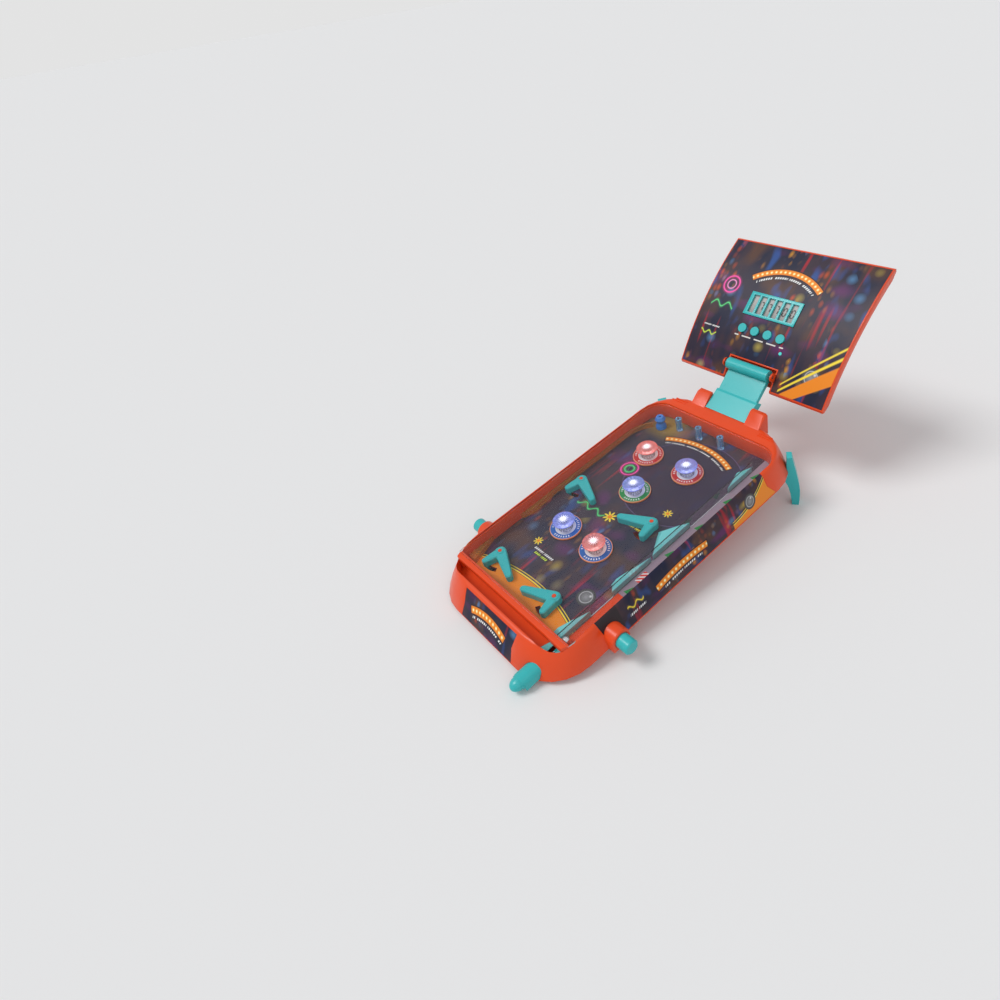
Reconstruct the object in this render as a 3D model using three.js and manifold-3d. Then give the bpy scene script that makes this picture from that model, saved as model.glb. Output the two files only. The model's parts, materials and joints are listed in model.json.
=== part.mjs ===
// Tabletop pinball game: a sloping play tray on two rear legs, with sprung flipper
// buttons, a pull plunger, light-up mushroom bumpers and a tilting score board.
//
// Everything is drawn in the body's own frame, in millimetres: x to the player's right,
// y along the playing field from the player to the back, z up from the rim.
// The whole game is then leaned back by the incline and stood on the table, with the
// origin in the middle of the front foot's rest face.
import * as THREE from 'three';
import { mergeVertices } from 'three/addons/utils/BufferGeometryUtils.js';
import Module from 'manifold-3d';

const wasm = await Module();
wasm.setup();

// Driving dimensions
const bodyWidth = 235;
const fieldLength = 420;
const bodyDepth = 39.4;
const floorDrop = 26.7;
const incline = THREE.MathUtils.degToRad(7.5);
const ballDiameter = 12.7;

// Shared sizes
const wall = 2.5;
const gap = 0.3;
const overrun = 5;
const roundSteps = 18;
const left = -1;
const right = 1;

// Body shell
const rearCapDepth = 27;
const sideLean = 12.5;
const frontLean = 25;
const rearLean = 11;
const frontCornerRadius = 60;
const rearCornerRadius = 62;
const cornerFlare = 4;
const rimRound = 3;
const rimRoundMidShare = 0.3;
const footRound = 1.2;
const bulgeShare = 0.3;
const cornerSteps = 6;
const hollowDrop = 10;

// Cavity that holds the playing field
const sideRim = 3;
const frontRim = 4.5;
const cavityRadius = 30;
const innerWall = 2;
const coverDrop = 2.2;
const coverThickness = 1.6;
const ledgeWidth = 1.2;
const cavityHalf = bodyWidth / 2 - sideRim;
const ledgeDrop = coverDrop + coverThickness + gap;

// Shooter lane along the right wall
const laneWidth = 26.2;
const laneWall = 1.4;
const dividerEdge = cavityHalf - laneWidth;

// Playing field
const fieldThickness = 2.4;
const fieldUnderside = floorDrop + fieldThickness;

// Bottom cover
const coverPlate = 2;
const coverTop = -bodyDepth + coverPlate;

// Table plane in the body frame, through the front foot
const footLift = 3.6;
const tableAtFront = -(bodyDepth + footLift);
const tableSlope = Math.tan(incline);
const tableHeight = (y) => tableAtFront - (y + frontLean) * tableSlope;

const orange = { color: 0xe1552d, roughness: 0.38, metalness: 0 };
const teal = { color: 0x35b8bb, roughness: 0.35, metalness: 0 };
const clear = { color: 0xdfe9f2, roughness: 0.08, metalness: 0, transparent: true, opacity: 0.35 };
const amber = { color: 0xc98634, roughness: 0.2, metalness: 0, transparent: true, opacity: 0.6 };
const print = { color: 0x1b1936, roughness: 0.3, metalness: 0 };
const dark = { color: 0x2a2a30, roughness: 0.6, metalness: 0 };
const steel = { color: 0xb8bcc2, roughness: 0.22, metalness: 1 };
const blue = { color: 0x3f86cf, roughness: 0.25, metalness: 0 };
const red = { color: 0xc8323a, roughness: 0.3, metalness: 0 };
const green = { color: 0x2f9a55, roughness: 0.3, metalness: 0 };

// Geometry helpers

// A closed geometry with shared corners and its faces outward
function sealed(geometry) {
  let shape = geometry.clone();
  for (const key of Object.keys(shape.attributes)) {
    if (key !== 'position') shape.deleteAttribute(key);
  }
  shape = mergeVertices(shape, 1e-4);
  const index = shape.index.array;
  const at = shape.attributes.position;
  const corners = [new THREE.Vector3(), new THREE.Vector3(), new THREE.Vector3()];
  let volume = 0;
  for (let i = 0; i < index.length; i += 3) {
    corners.forEach((corner, k) => corner.fromBufferAttribute(at, index[i + k]));
    volume += corners[0].dot(corners[1].clone().cross(corners[2]));
  }
  if (volume < 0) {
    for (let i = 0; i < index.length; i += 3) {
      [index[i], index[i + 1]] = [index[i + 1], index[i]];
    }
  }
  return shape;
}

function solid(geometry) {
  const shape = sealed(geometry);
  return new wasm.Manifold(new wasm.Mesh({
    numProp: 3,
    vertProperties: new Float32Array(shape.attributes.position.array),
    triVerts: new Uint32Array(shape.index.array),
  }));
}

function geometryOf(body) {
  const mesh = body.getMesh();
  const geometry = new THREE.BufferGeometry();
  geometry.setAttribute('position', new THREE.BufferAttribute(new Float32Array(mesh.vertProperties), 3));
  geometry.setIndex(new THREE.BufferAttribute(new Uint32Array(mesh.triVerts), 1));
  return geometry;
}

function part(name, body, look) {
  const mesh = new THREE.Mesh(geometryOf(body), new THREE.MeshStandardMaterial(look));
  mesh.name = name;
  return mesh;
}

const join = (bodies) => bodies.reduce((sum, body) => sum.add(body));
const cut = (body, tools) => tools.reduce((rest, tool) => rest.subtract(tool), body);

// Solid between two heights over an outline of [x, y] points
function plate(outline, bottom, top) {
  const shape = new THREE.Shape(outline.map(([x, y]) => new THREE.Vector2(x, y)));
  const geometry = new THREE.ExtrudeGeometry(shape, { depth: top - bottom, bevelEnabled: false });
  geometry.translate(0, 0, bottom);
  return solid(geometry);
}

// Solid between two x places over a side profile of [y, z] points
function sideways(profile, start, end) {
  const shape = new THREE.Shape(profile.map(([y, z]) => new THREE.Vector2(y, z)));
  const geometry = new THREE.ExtrudeGeometry(shape, { depth: end - start, bevelEnabled: false });
  geometry.applyMatrix4(new THREE.Matrix4().makeBasis(
    new THREE.Vector3(0, 1, 0), new THREE.Vector3(0, 0, 1), new THREE.Vector3(1, 0, 0)));
  geometry.translate(start, 0, 0);
  return solid(geometry);
}

// Solid between two y places over a front profile of [x, z] points
function lengthways(profile, start, end) {
  const shape = new THREE.Shape(profile.map(([x, z]) => new THREE.Vector2(x, z)));
  const geometry = new THREE.ExtrudeGeometry(shape, { depth: end - start, bevelEnabled: false });
  geometry.applyMatrix4(new THREE.Matrix4().makeBasis(
    new THREE.Vector3(1, 0, 0), new THREE.Vector3(0, 0, 1), new THREE.Vector3(0, -1, 0)));
  geometry.translate(0, end, 0);
  return solid(geometry);
}

const block = (x0, x1, y0, y1, z0, z1) => plate([[x0, y0], [x1, y0], [x1, y1], [x0, y1]], z0, z1);

// Solid of revolution about z from a profile of [radius, z] points
function turned(profile, steps = roundSteps) {
  const points = profile.map(([radius, z]) => new THREE.Vector2(radius, z));
  const geometry = new THREE.LatheGeometry(points, steps);
  geometry.rotateX(Math.PI / 2);
  return solid(geometry);
}

const alongX = (body) => body.rotate([0, 90, 0]);
const alongY = (body) => body.rotate([90, 0, 0]);

function rod(radius, start, end, steps = roundSteps) {
  return turned([[0, start], [radius, start], [radius, end], [0, end]], steps);
}

const rodX = (radius, start, end, y, z) => alongX(rod(radius, start, end)).translate([0, y, z]);
const rodZ = (radius, start, end, x, y) => rod(radius, start, end).translate([x, y, 0]);

// Solid through rings of [x, y, z] points, each ring with the same number of points
function loft(rings) {
  const count = rings[0].length;
  const positions = rings.flat(2);
  const index = [];
  for (let r = 0; r < rings.length - 1; r += 1) {
    for (let i = 0; i < count; i += 1) {
      const a = r * count + i;
      const b = r * count + (i + 1) % count;
      index.push(a, b, b + count, a, b + count, a + count);
    }
  }
  const last = (rings.length - 1) * count;
  for (let i = 1; i < count - 1; i += 1) {
    index.push(0, i + 1, i, last, last + i, last + i + 1);
  }
  const geometry = new THREE.BufferGeometry();
  geometry.setAttribute('position', new THREE.Float32BufferAttribute(positions, 3));
  geometry.setIndex(index);
  return solid(geometry);
}

// Points of an arc about a centre, both ends included
function arc(centreX, centreY, radius, from, to, steps = cornerSteps) {
  return Array.from({ length: steps + 1 }, (_, i) => {
    const angle = THREE.MathUtils.degToRad(from + (to - from) * i / steps);
    return [centreX + radius * Math.cos(angle), centreY + radius * Math.sin(angle)];
  });
}

// Rounded outline, symmetric about x = 0, counterclockwise from the front right
function roundedOutline(half, front, rear, frontRadius, rearRadius) {
  return [
    ...arc(half - frontRadius, front + frontRadius, frontRadius, -90, 0),
    ...arc(half - rearRadius, rear - rearRadius, rearRadius, 0, 90),
    ...arc(-half + rearRadius, rear - rearRadius, rearRadius, 90, 180),
    ...arc(-half + frontRadius, front + frontRadius, frontRadius, 180, 270),
  ];
}

// Tapered bar with round ends, from a circle at the origin to one further along an angle
function taperedBar(rootRadius, tipRadius, reach, angle) {
  const spread = THREE.MathUtils.radToDeg(Math.acos((rootRadius - tipRadius) / reach));
  const towards = THREE.MathUtils.degToRad(angle);
  const tipX = reach * Math.cos(towards);
  const tipY = reach * Math.sin(towards);
  return [
    ...arc(tipX, tipY, tipRadius, angle - spread, angle + spread),
    ...arc(0, 0, rootRadius, angle + spread, angle + 360 - spread),
  ];
}

// The same closed counterclockwise outline moved outward by a distance
function grown(outline, distance) {
  const normal = ([ax, ay], [bx, by]) => {
    const length = Math.hypot(bx - ax, by - ay);
    return [(by - ay) / length, (ax - bx) / length];
  };
  return outline.map((point, i) => {
    const before = outline[(i + outline.length - 1) % outline.length];
    const after = outline[(i + 1) % outline.length];
    const [ax, ay] = normal(before, point);
    const [bx, by] = normal(point, after);
    const reach = distance / (1 + ax * bx + ay * by);
    return [point[0] + (ax + bx) * reach, point[1] + (ay + by) * reach];
  });
}

const mirrored = (outline) => outline.map(([x, y]) => [-x, y]).reverse();

// Coil along x or y made of one wire
class Helix extends THREE.Curve {
  constructor(radius, length, turns) {
    super();
    Object.assign(this, { radius, length, turns });
  }

  getPoint(t, target = new THREE.Vector3()) {
    const angle = 2 * Math.PI * this.turns * t;
    return target.set(this.radius * Math.cos(angle), this.radius * Math.sin(angle), this.length * t);
  }
}

const wireDiameter = 0.8;
const coilStepsPerTurn = 8;
const wireSides = 5;

function coil(outerDiameter, length, turns) {
  const path = new Helix((outerDiameter - wireDiameter) / 2, length - wireDiameter, turns);
  const wireRadius = wireDiameter / 2;
  const section = new THREE.Shape(arc(0, 0, wireRadius, 0, 360, wireSides).slice(1)
    .map(([x, y]) => new THREE.Vector2(x, y)));
  const steps = turns * coilStepsPerTurn;
  const geometry = new THREE.ExtrudeGeometry(section, { steps, extrudePath: path });
  geometry.translate(0, 0, wireRadius);
  return solid(geometry);
}

// Housing: the one-piece orange moulding with its sloping outer faces, inner walls,
// button bosses and the seat of the score board's bracket

// Outline of the outer face at a drop below the rim, moved inward by an inset
function bodyOutline(drop, inset) {
  const share = Math.min(drop / bodyDepth, 1);
  const flare = share * (1 + bulgeShare * (1 - share));
  return roundedOutline(
    bodyWidth / 2 + sideLean * flare - inset,
    -frontLean * flare + inset,
    fieldLength + rearCapDepth + rearLean * flare - inset,
    frontCornerRadius + cornerFlare * flare - inset,
    rearCornerRadius + cornerFlare * flare - inset);
}

const bodyRing = (drop, inset) => bodyOutline(drop, inset).map(([x, y]) => [x, y, -drop]);

// The outer shape of the body, moved inward all round by a skin
function bodyShape(skin) {
  return loft([
    bodyRing(bodyDepth - skin, skin + footRound),
    bodyRing(bodyDepth - footRound - skin, skin),
    bodyRing(bodyDepth / 2, skin),
    bodyRing(hollowDrop, skin),
    bodyRing(rimRound + skin, skin),
    bodyRing(rimRound * rimRoundMidShare + skin, skin + rimRound * rimRoundMidShare),
    bodyRing(skin, skin + rimRound),
  ]);
}

// Room between the outer faces and the inner walls, open underneath
function bodyHollow() {
  const lowest = bodyRing(bodyDepth, wall).map(([x, y]) => [x, y, -bodyDepth - overrun]);
  return loft([
    lowest,
    bodyRing(bodyDepth, wall),
    bodyRing(bodyDepth / 2, wall),
    bodyRing(hollowDrop, wall),
  ]);
}

const cavityOutline = (inset) => roundedOutline(
  cavityHalf - inset, frontRim + inset, fieldLength - inset, cavityRadius - inset, cavityRadius - inset);

// Button bosses: an arch-topped box on each sloping side
const buttonY = 82;
const buttonDrop = 25.5;
const buttonRadius = 10;
const buttonFlangeRadius = 11.2;
const buttonRunning = 0.3;
const bossRadius = 14;
const bossFoot = 38.6;
const bossProud = 22.5;
const bossFace = bodyWidth / 2 + bossProud;
const bossWall = 3;
const bossRound = 1.5;
const bossRoot = bodyWidth / 2 - rimRound;
const bossHollowFrom = cavityHalf + innerWall + gap;

function bossProfile(inset) {
  return [
    [buttonY - bossRadius + inset, -bossFoot + inset],
    [buttonY + bossRadius - inset, -bossFoot + inset],
    ...arc(buttonY, -buttonDrop, bossRadius - inset, 0, 180, 2 * cornerSteps),
  ];
}

function buttonBoss(side) {
  const ring = (x, inset) => bossProfile(inset).map(([y, z]) => [side * x, y, z]);
  return loft([ring(bossRoot, 0), ring(bossFace - bossRound, 0), ring(bossFace, bossRound)]);
}

function buttonRoom(side) {
  const bore = [side * (bossFace - bossWall - overrun), side * (bossFace + overrun)];
  const room = [side * bossHollowFrom, side * (bossFace - bossWall)];
  const span = ([a, b]) => [Math.min(a, b), Math.max(a, b)];
  const armWay = block(...span(room), buttonY - sliderArmHalf - gap, buttonY + sliderArmHalf + gap,
    -sliderFoot - gap, -buttonDrop);
  return rodX(buttonRadius + buttonRunning, ...span(bore), buttonY, -buttonDrop)
    .add(rodX(buttonFlangeRadius + 2 * buttonRunning, ...span(room), buttonY, -buttonDrop))
    .add(armWay);
}

// What stands behind the field is drawn with y from the field's rear end
const behindField = (body) => body.translate([0, fieldLength, 0]);

// Seat of the bracket: a ramp with two horns on the rear cap and a pocket between them
const bracketHalf = 36;
const seatHornWidth = 25;
const seatHalf = bracketHalf + seatHornWidth;
const seatFront = 21;
const seatHornY = 37;
const seatRear = 43;
const seatHeight = 15;
const seatSink = 20;
const seatTaper = 3;

// Bracket foot: a sloping wedge with a tongue that plugs into the seat
const footFrontY = 23.3;
const footFrontZ = 0.6;
const footTopY = 50;
const footTopZ = 15.8;
const footStepY = 54;
const footStepZ = 16.8;
const footRearY = 63;
const footRearZ = 8.5;
const footHeelY = 45.5;
const footHeelZ = -2.5;
const tongueFront = 26.5;
const tongueRear = 39.5;
const tongueEnd = -15.5;

const bracketFootProfile = [
  [footFrontY, footFrontZ], [tongueFront, footFrontZ - gap], [tongueFront, tongueEnd],
  [tongueRear, tongueEnd], [tongueRear, footHeelZ], [footHeelY, footHeelZ],
  [footRearY, footRearZ], [footStepY, footStepZ], [footTopY, footTopZ],
];

function bracketSeat() {
  const profile = [
    [seatFront, 0], [seatFront, -seatSink], [seatRear, -seatSink], [seatRear, seatHeight],
    [seatHornY, seatHeight],
  ];
  const ring = (x, inset) => profile.map(([y, z]) => [x, y, z > 0 ? z - inset : z]);
  return behindField(loft([
    ring(-seatHalf, seatTaper), ring(-seatHalf + seatTaper, 0),
    ring(seatHalf - seatTaper, 0), ring(seatHalf, seatTaper),
  ]));
}

// Bottom of the bracket's room is open at the front, where the wedge's edge shows
function bracketRoom() {
  return behindField(sideways(grown(bracketFootProfile, gap), -bracketHalf - gap, bracketHalf + gap));
}

// Between the horns the ramp is cut down to the rim, and the wedge lies there in the open
function bracketGate() {
  return behindField(block(-bracketHalf - gap, bracketHalf + gap, seatFront - gap, seatRear + overrun,
    0, seatHeight + overrun));
}

// Low ribs on the rear cap, beside the seat
const ribLength = 26;
const ribWidth = 1.6;
const ribHeight = 0.9;
const ribGap = 5;
const ribInner = seatHalf + ribGap;
const ribSpacing = 4.5;
const ribY = 12;

function capRibs(side) {
  return [0, 1].map((k) => {
    const y = ribY + k * ribSpacing;
    const x0 = side * ribInner;
    const x1 = side * (ribInner + ribLength - k * ribSpacing);
    return behindField(block(Math.min(x0, x1), Math.max(x0, x1), y, y + ribWidth, -rimRound, ribHeight));
  });
}

// Printed panels lie in shallow recesses of the side and front faces
const panelThickness = 1.1;
const panelRecess = panelThickness + gap;
const panelTopSetback = 48;
const panelFootSetback = 34;
const panelFrontTop = 67;
const panelFrontFoot = 73;
const panelRearTop = fieldLength - panelTopSetback;
const panelRearFoot = fieldLength - panelFootSetback;
const panelRearBow = 5;
const panelHem = 2.4;
const frontPanelInset = 63.5;
const frontPanelHalf = bodyWidth / 2 - frontPanelInset;
const frontPanelBow = 3;
const frontPanelDrop = 2.8;
const frontPanelHem = 1.6;
const frontPanelReach = 20;

const sidePanelProfile = [
  [panelFrontTop, overrun], [panelFrontTop, 0], [panelFrontFoot, -bodyDepth + panelHem],
  [panelRearFoot, -bodyDepth + panelHem],
  [(panelRearTop + panelRearFoot) / 2 - panelRearBow, -bodyDepth / 2],
  [panelRearTop, 0], [panelRearTop, overrun],
];

const frontPanelProfile = [
  [-frontPanelHalf, -bodyDepth + frontPanelHem], [frontPanelHalf, -bodyDepth + frontPanelHem],
  [frontPanelHalf - frontPanelBow, -bodyDepth / 2], [frontPanelHalf, -frontPanelDrop],
  [-frontPanelHalf, -frontPanelDrop], [-frontPanelHalf + frontPanelBow, -bodyDepth / 2],
];

function skinBetween(outerSkin, innerSkin) {
  const outside = outerSkin === 0 ? bodyShape(-overrun) : bodyShape(outerSkin);
  return outside.subtract(bodyShape(innerSkin));
}

function sideZone(side, profile) {
  const near = side * cavityHalf;
  const far = side * (bossFace + overrun);
  return sideways(profile, Math.min(near, far), Math.max(near, far));
}

const frontZone = (profile) => lengthways(profile, -frontLean - overrun, frontPanelReach);

function housing() {
  const plungerGate = lengthways(plungerArch(plungerRunning), -frontLean - overrun, frontRim - innerWall);
  const recess = skinBetween(0, panelRecess);
  const recesses = [
    recess.intersect(sideZone(left, sidePanelProfile)),
    recess.intersect(sideZone(right, sidePanelProfile)),
    recess.intersect(frontZone(frontPanelProfile)),
  ];
  const innerWalls = plate(cavityOutline(-innerWall), -floorDrop + gap, 0);
  const outside = join([
    cut(bodyShape(0), recesses), buttonBoss(left), buttonBoss(right),
    ...capRibs(left), ...capRibs(right),
  ]);
  const shell = cut(outside, [
    bodyHollow().subtract(innerWalls),
    plate(cavityOutline(ledgeWidth), -bodyDepth, overrun),
    plate(cavityOutline(0), -ledgeDrop, overrun),
  ]);
  return cut(shell.add(bracketSeat()), [
    bracketRoom(), bracketGate(), buttonRoom(left), buttonRoom(right), plungerGate,
  ]);
}

// A printed panel fills its recess, set in by the running gap
function sidePanel(side) {
  const skin = bodyShape(gap / 2).subtract(bodyShape(panelThickness));
  const margin = sideZone(side, grown(sidePanelProfile, -gap));
  const clearWay = plate(cavityOutline(-gap), -bodyDepth, overrun);
  return skin.intersect(margin).subtract(clearWay).subtract(bossClearance(side));
}

const bossClearance = (side) => sideways(
  grown(bossProfile(0), gap),
  Math.min(side * bossRoot, side * bossFace), Math.max(side * bossRoot, side * bossFace));

function frontPanel() {
  const skin = bodyShape(gap / 2).subtract(bodyShape(panelThickness));
  return skin.intersect(frontZone(grown(frontPanelProfile, -gap)));
}

// Plunger: an arch-shaped slide with a flanged knob, a sprung rod under the floor
// and a paddle above it that strikes the ball
const plungerInset = 27.5;
const plungerX = cavityHalf - plungerInset;
const plungerHalf = 11;
const plungerAxisDrop = 31;
const plungerFoot = 36.9;
const plungerRunning = 0.4;
const plungerInner = 1.9;
const plungerOuter = -33;
const plungerTravel = 15;
const plungerRodRadius = 2.3;
const springDrop = 33.2;
const webHalf = 4;
const webThickness = 3;
const webFoot = 36.6;
const paddleRear = 28.5;
const paddleHalf = 11;
const paddleThickness = 2.5;
const paddleTop = 14;
const knobNeckRadius = 5.2;
const knobFlangeRadius = 9.6;
const knobFlangeThickness = 2.5;
const knobDomeRadius = 8.6;
const knobDomeSteps = 6;
const knobReach = 47;
const knobDrop = 29.6;

function plungerArch(clearance) {
  const half = plungerHalf + clearance;
  return [
    [plungerX - half, -plungerFoot - clearance], [plungerX + half, -plungerFoot - clearance],
    ...arc(plungerX, -plungerAxisDrop, half, 0, 180, 2 * cornerSteps),
  ];
}

function plunger() {
  const slide = lengthways(plungerArch(0), plungerOuter, plungerInner);
  const rodBody = alongY(rod(plungerRodRadius, -paddleRear + webThickness / 2, -plungerInner + wall))
    .translate([plungerX, 0, -springDrop]);
  const web = block(plungerX - webHalf, plungerX + webHalf, paddleRear - webThickness, paddleRear,
    -webFoot, -floorDrop + 2 * gap);
  const paddle = block(plungerX - paddleHalf, plungerX + paddleHalf,
    paddleRear - paddleThickness, paddleRear, -floorDrop + gap, -paddleTop);
  const domeFoot = knobFlangeThickness - plungerOuter;
  const dome = Array.from({ length: knobDomeSteps }, (_, i) => {
    const turn = (i / knobDomeSteps) * Math.PI / 2;
    return [knobDomeRadius * Math.cos(turn), domeFoot + (knobReach - domeFoot) * Math.sin(turn)];
  });
  const knob = alongY(turned([
    [0, -plungerOuter - wall], [knobNeckRadius, -plungerOuter - wall],
    [knobFlangeRadius, -plungerOuter], [knobFlangeRadius, domeFoot], ...dome, [0, knobReach],
  ])).translate([plungerX, 0, -knobDrop]);
  return join([slide, rodBody, web, paddle, knob]);
}

const plungerSpringDiameter = 7.2;
const plungerSpringTurns = 5;
const springSeatFront = 3;
const springSeatThickness = 2;

function plungerSpring() {
  const front = springSeatFront + springSeatThickness + gap;
  const rear = paddleRear - webThickness - gap;
  return alongY(coil(plungerSpringDiameter, rear - front, plungerSpringTurns))
    .translate([plungerX, rear, -springDrop]);
}

// Playing field: the printed floor plate with the flipper pins and the openings
// for what works underneath
const flipperPinRadius = 2.7;
const flipperPinHeight = 12.2;
const flipperRise = 0.6;
const flipperHeight = 10.6;
const flipperRootRadius = 8.4;
const flipperTipRadius = 4.8;
const flipperBevel = 1.3;
const flipperBossRadius = 5.6;
const flipperBossRise = 0.7;
const flipperRest = -23;
const flipperSwing = 36;
const tailRest = -101;
const tailArm = 24;
const tailRootRadius = 7.2;
const tailEndRadius = 4.4;
const tailPinRadius = 2.5;
const tailPinDrop = 36.2;
const slotRunning = 0.8;

// Flipper pivots as shares of half the cavity's width and of the field's length
const flipperPlaces = [
  { name: 'left_lower_flipper', side: left, xShare: -0.696, yShare: 0.1617 },
  { name: 'left_upper_flipper', side: left, xShare: -0.806, yShare: 0.552 },
  { name: 'right_lower_flipper', side: right, xShare: 0.326, yShare: 0.1598 },
  { name: 'right_upper_flipper', side: right, xShare: 0.421, yShare: 0.5524 },
].map((place) => ({ ...place, x: place.xShare * cavityHalf, y: place.yShare * fieldLength }));

// Lower flippers leave a gap between their tips, which the ball can drain through
const drainGap = 17.02;
const flipperReach = (flipperPlaces[2].x - flipperPlaces[0].x - drainGap) / 2;

// Arc slot in the floor that a flipper's tail pin sweeps
function tailSlot({ side, x, y }) {
  const halfWidth = tailPinRadius + slotRunning;
  const extra = THREE.MathUtils.radToDeg(halfWidth / tailArm);
  const from = tailRest - extra;
  const to = tailRest + flipperSwing + extra;
  const outline = [
    ...arc(0, 0, tailArm + halfWidth, from, to),
    ...arc(0, 0, tailArm - halfWidth, to, from),
  ];
  return plate(side === left ? outline : mirrored(outline), -bodyDepth, overrun).translate([x, y, 0]);
}

const insertDepth = 1.2;
const cornerPlateSlant = 7;
const cornerPlateRear = plungerX - plungerHalf;
const cornerPlateFront = cornerPlateRear - cornerPlateSlant;
const cornerPlateEnd = 23.5;
const chuteLeft = dividerEdge + 2 * gap;
const chuteEnd = 126;

// Outlines of the shooter lane's inlaid floor and of the teal corner plate before it
const chuteOutline = [
  [chuteLeft, cornerPlateEnd + wall], [cavityHalf, cornerPlateEnd + wall],
  [cavityHalf, chuteEnd], [chuteLeft, chuteEnd],
];
const cornerOutline = [
  [cornerPlateFront, 0], [cavityHalf, 0], [cavityHalf, cornerPlateEnd], [cornerPlateRear, cornerPlateEnd],
];

function webSlot() {
  const half = webHalf + 2 * gap;
  const front = paddleRear - webThickness - plungerTravel - 2 * gap;
  return block(plungerX - half, plungerX + half, front, paddleRear + 2 * gap, -bodyDepth, 0);
}

function playfield() {
  const inlays = [chuteOutline, cornerOutline]
    .map((outline) => plate(grown(outline, gap), -floorDrop - insertDepth - gap, 0));
  const lamps = bumperPlaces.map(({ x, y }) => rodZ(lampHoleRadius, -bodyDepth, overrun, x, y));
  const floor = cut(plate(cavityOutline(-innerWall + gap), -fieldUnderside, -floorDrop),
    [...inlays, ...lamps, ...flipperPlaces.map(tailSlot), webSlot()]);
  const pins = flipperPlaces.map(({ x, y }) => rodZ(
    flipperPinRadius, -floorDrop - fieldThickness / 2, -floorDrop + flipperPinHeight, x, y));
  return join([floor, ...pins]);
}

function inlay(outline) {
  return plate(outline, -floorDrop - insertDepth, -floorDrop)
    .intersect(plate(cavityOutline(-innerWall + 2 * gap), -bodyDepth, 0))
    .subtract(webSlot());
}

// Flippers: a tapered blade and a tail on one boss, with a pin under the tail
function flipper({ side }) {
  const top = -floorDrop + flipperRise + flipperHeight;
  const bottom = -floorDrop + flipperRise;
  const bar = (root, tip, reach, angle) => {
    const ring = (inset, z) => taperedBar(root - inset, tip - inset, reach, angle)
      .map(([x, y]) => [x, y, z]);
    return loft([ring(0, bottom), ring(0, top - flipperBevel), ring(flipperBevel, top)]);
  };
  const blade = bar(flipperRootRadius, flipperTipRadius, flipperReach - flipperTipRadius, flipperRest);
  const tail = bar(tailRootRadius, tailEndRadius, tailArm, tailRest);
  const boss = rod(flipperBossRadius, bottom, top + flipperBossRise);
  const pinAngle = THREE.MathUtils.degToRad(tailRest);
  const pin = rodZ(tailPinRadius, -tailPinDrop, bottom + wall,
    tailArm * Math.cos(pinAngle), tailArm * Math.sin(pinAngle));
  const whole = join([blade, tail, boss, pin])
    .subtract(rod(flipperPinRadius + gap, -bodyDepth, overrun));
  return side === left ? whole : whole.mirror([1, 0, 0]);
}

// Bumpers: a printed ring on the floor and a clear mushroom lit from below
const ringRadius = 23;
const ringThickness = 2.6;
const ringEdge = 0.6;
const ringSteps = 28;
const stemFootRadius = 10;
const stemNeckRadius = 4.6;
const stemFootRise = 3.2;
const stemNeckRise = 8;
const capUnderside = 14;
const capRadius = 15.8;
const capRimRise = 16.5;
const capTop = 19.6;
const capCrownShare = 0.55;
const lampHoleRadius = 4;
const lampSpigotRadius = 3.6;

const bumperPlaces = [
  { xShare: -0.4735, yShare: 0.7917, ring: red },
  { xShare: 0.1642, yShare: 0.799, ring: red },
  { xShare: -0.1511, yShare: 0.6326, ring: green },
  { xShare: -0.4026, yShare: 0.3757, ring: blue },
  { xShare: 0.1424, yShare: 0.3729, ring: blue },
].map((place) => ({ ...place, x: place.xShare * cavityHalf, y: place.yShare * fieldLength }));

function bumperRing() {
  const bottom = -floorDrop + gap;
  const top = bottom + ringThickness;
  const bore = stemFootRadius + gap;
  return turned([
    [bore, bottom], [ringRadius, bottom], [ringRadius, top - ringEdge], [ringRadius - ringEdge, top],
    [bore, top], [bore, bottom],
  ], ringSteps);
}

function bumperCap() {
  const base = -floorDrop + gap;
  return turned([
    [0, -floorDrop - fieldThickness], [lampSpigotRadius, -floorDrop - fieldThickness],
    [lampSpigotRadius, base], [stemFootRadius, base],
    [stemFootRadius, base + ringThickness], [stemNeckRadius, base + stemNeckRise],
    [stemNeckRadius, base + capUnderside - stemFootRise / 2], [capRadius, base + capUnderside],
    [capRadius, base + capRimRise], [capRadius * capCrownShare, base + capTop], [0, base + capTop],
  ]);
}

// Posts at the back: a solid waisted one in the left corner and three clear tubes
const postHeight = 21.2;
const postRadius = 8.4;
const postWaistRadius = 5.6;
const postCollarShare = 0.22;
const postWaistShare = 0.45;
const tubeRadius = 5;
const tubeBoreRadius = 2;
const tubeFloor = 3;

const cornerPostPlace = { xShare: -0.7275, yShare: 0.9355 };
const tubePlaceShares = [[-0.4856, 0.962], [-0.1511, 0.962], [0.1939, 0.964]];

function cornerPost() {
  const base = -floorDrop + gap;
  const collar = postHeight * postCollarShare;
  const waist = postHeight * postWaistShare;
  return turned([
    [0, base], [postRadius, base], [postRadius, base + collar], [postWaistRadius, base + waist],
    [postRadius, base + postHeight - collar], [postWaistRadius, base + postHeight],
    [tubeBoreRadius, base + postHeight], [tubeBoreRadius, base + postHeight - tubeFloor],
    [0, base + postHeight - tubeFloor],
  ]);
}

function rearTube() {
  const base = -floorDrop + gap;
  return turned([
    [0, base], [tubeRadius, base], [tubeRadius, base + postHeight], [tubeBoreRadius, base + postHeight],
    [tubeBoreRadius, base + tubeFloor], [0, base + tubeFloor],
  ]);
}

// Guides along the walls: faceted teal deflectors on the right, amber clear ones on the left
const guideHeight = 8;
const guideLean = 0.3;
const deflectorEdge = dividerEdge - laneWall - 2 * gap;

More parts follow.
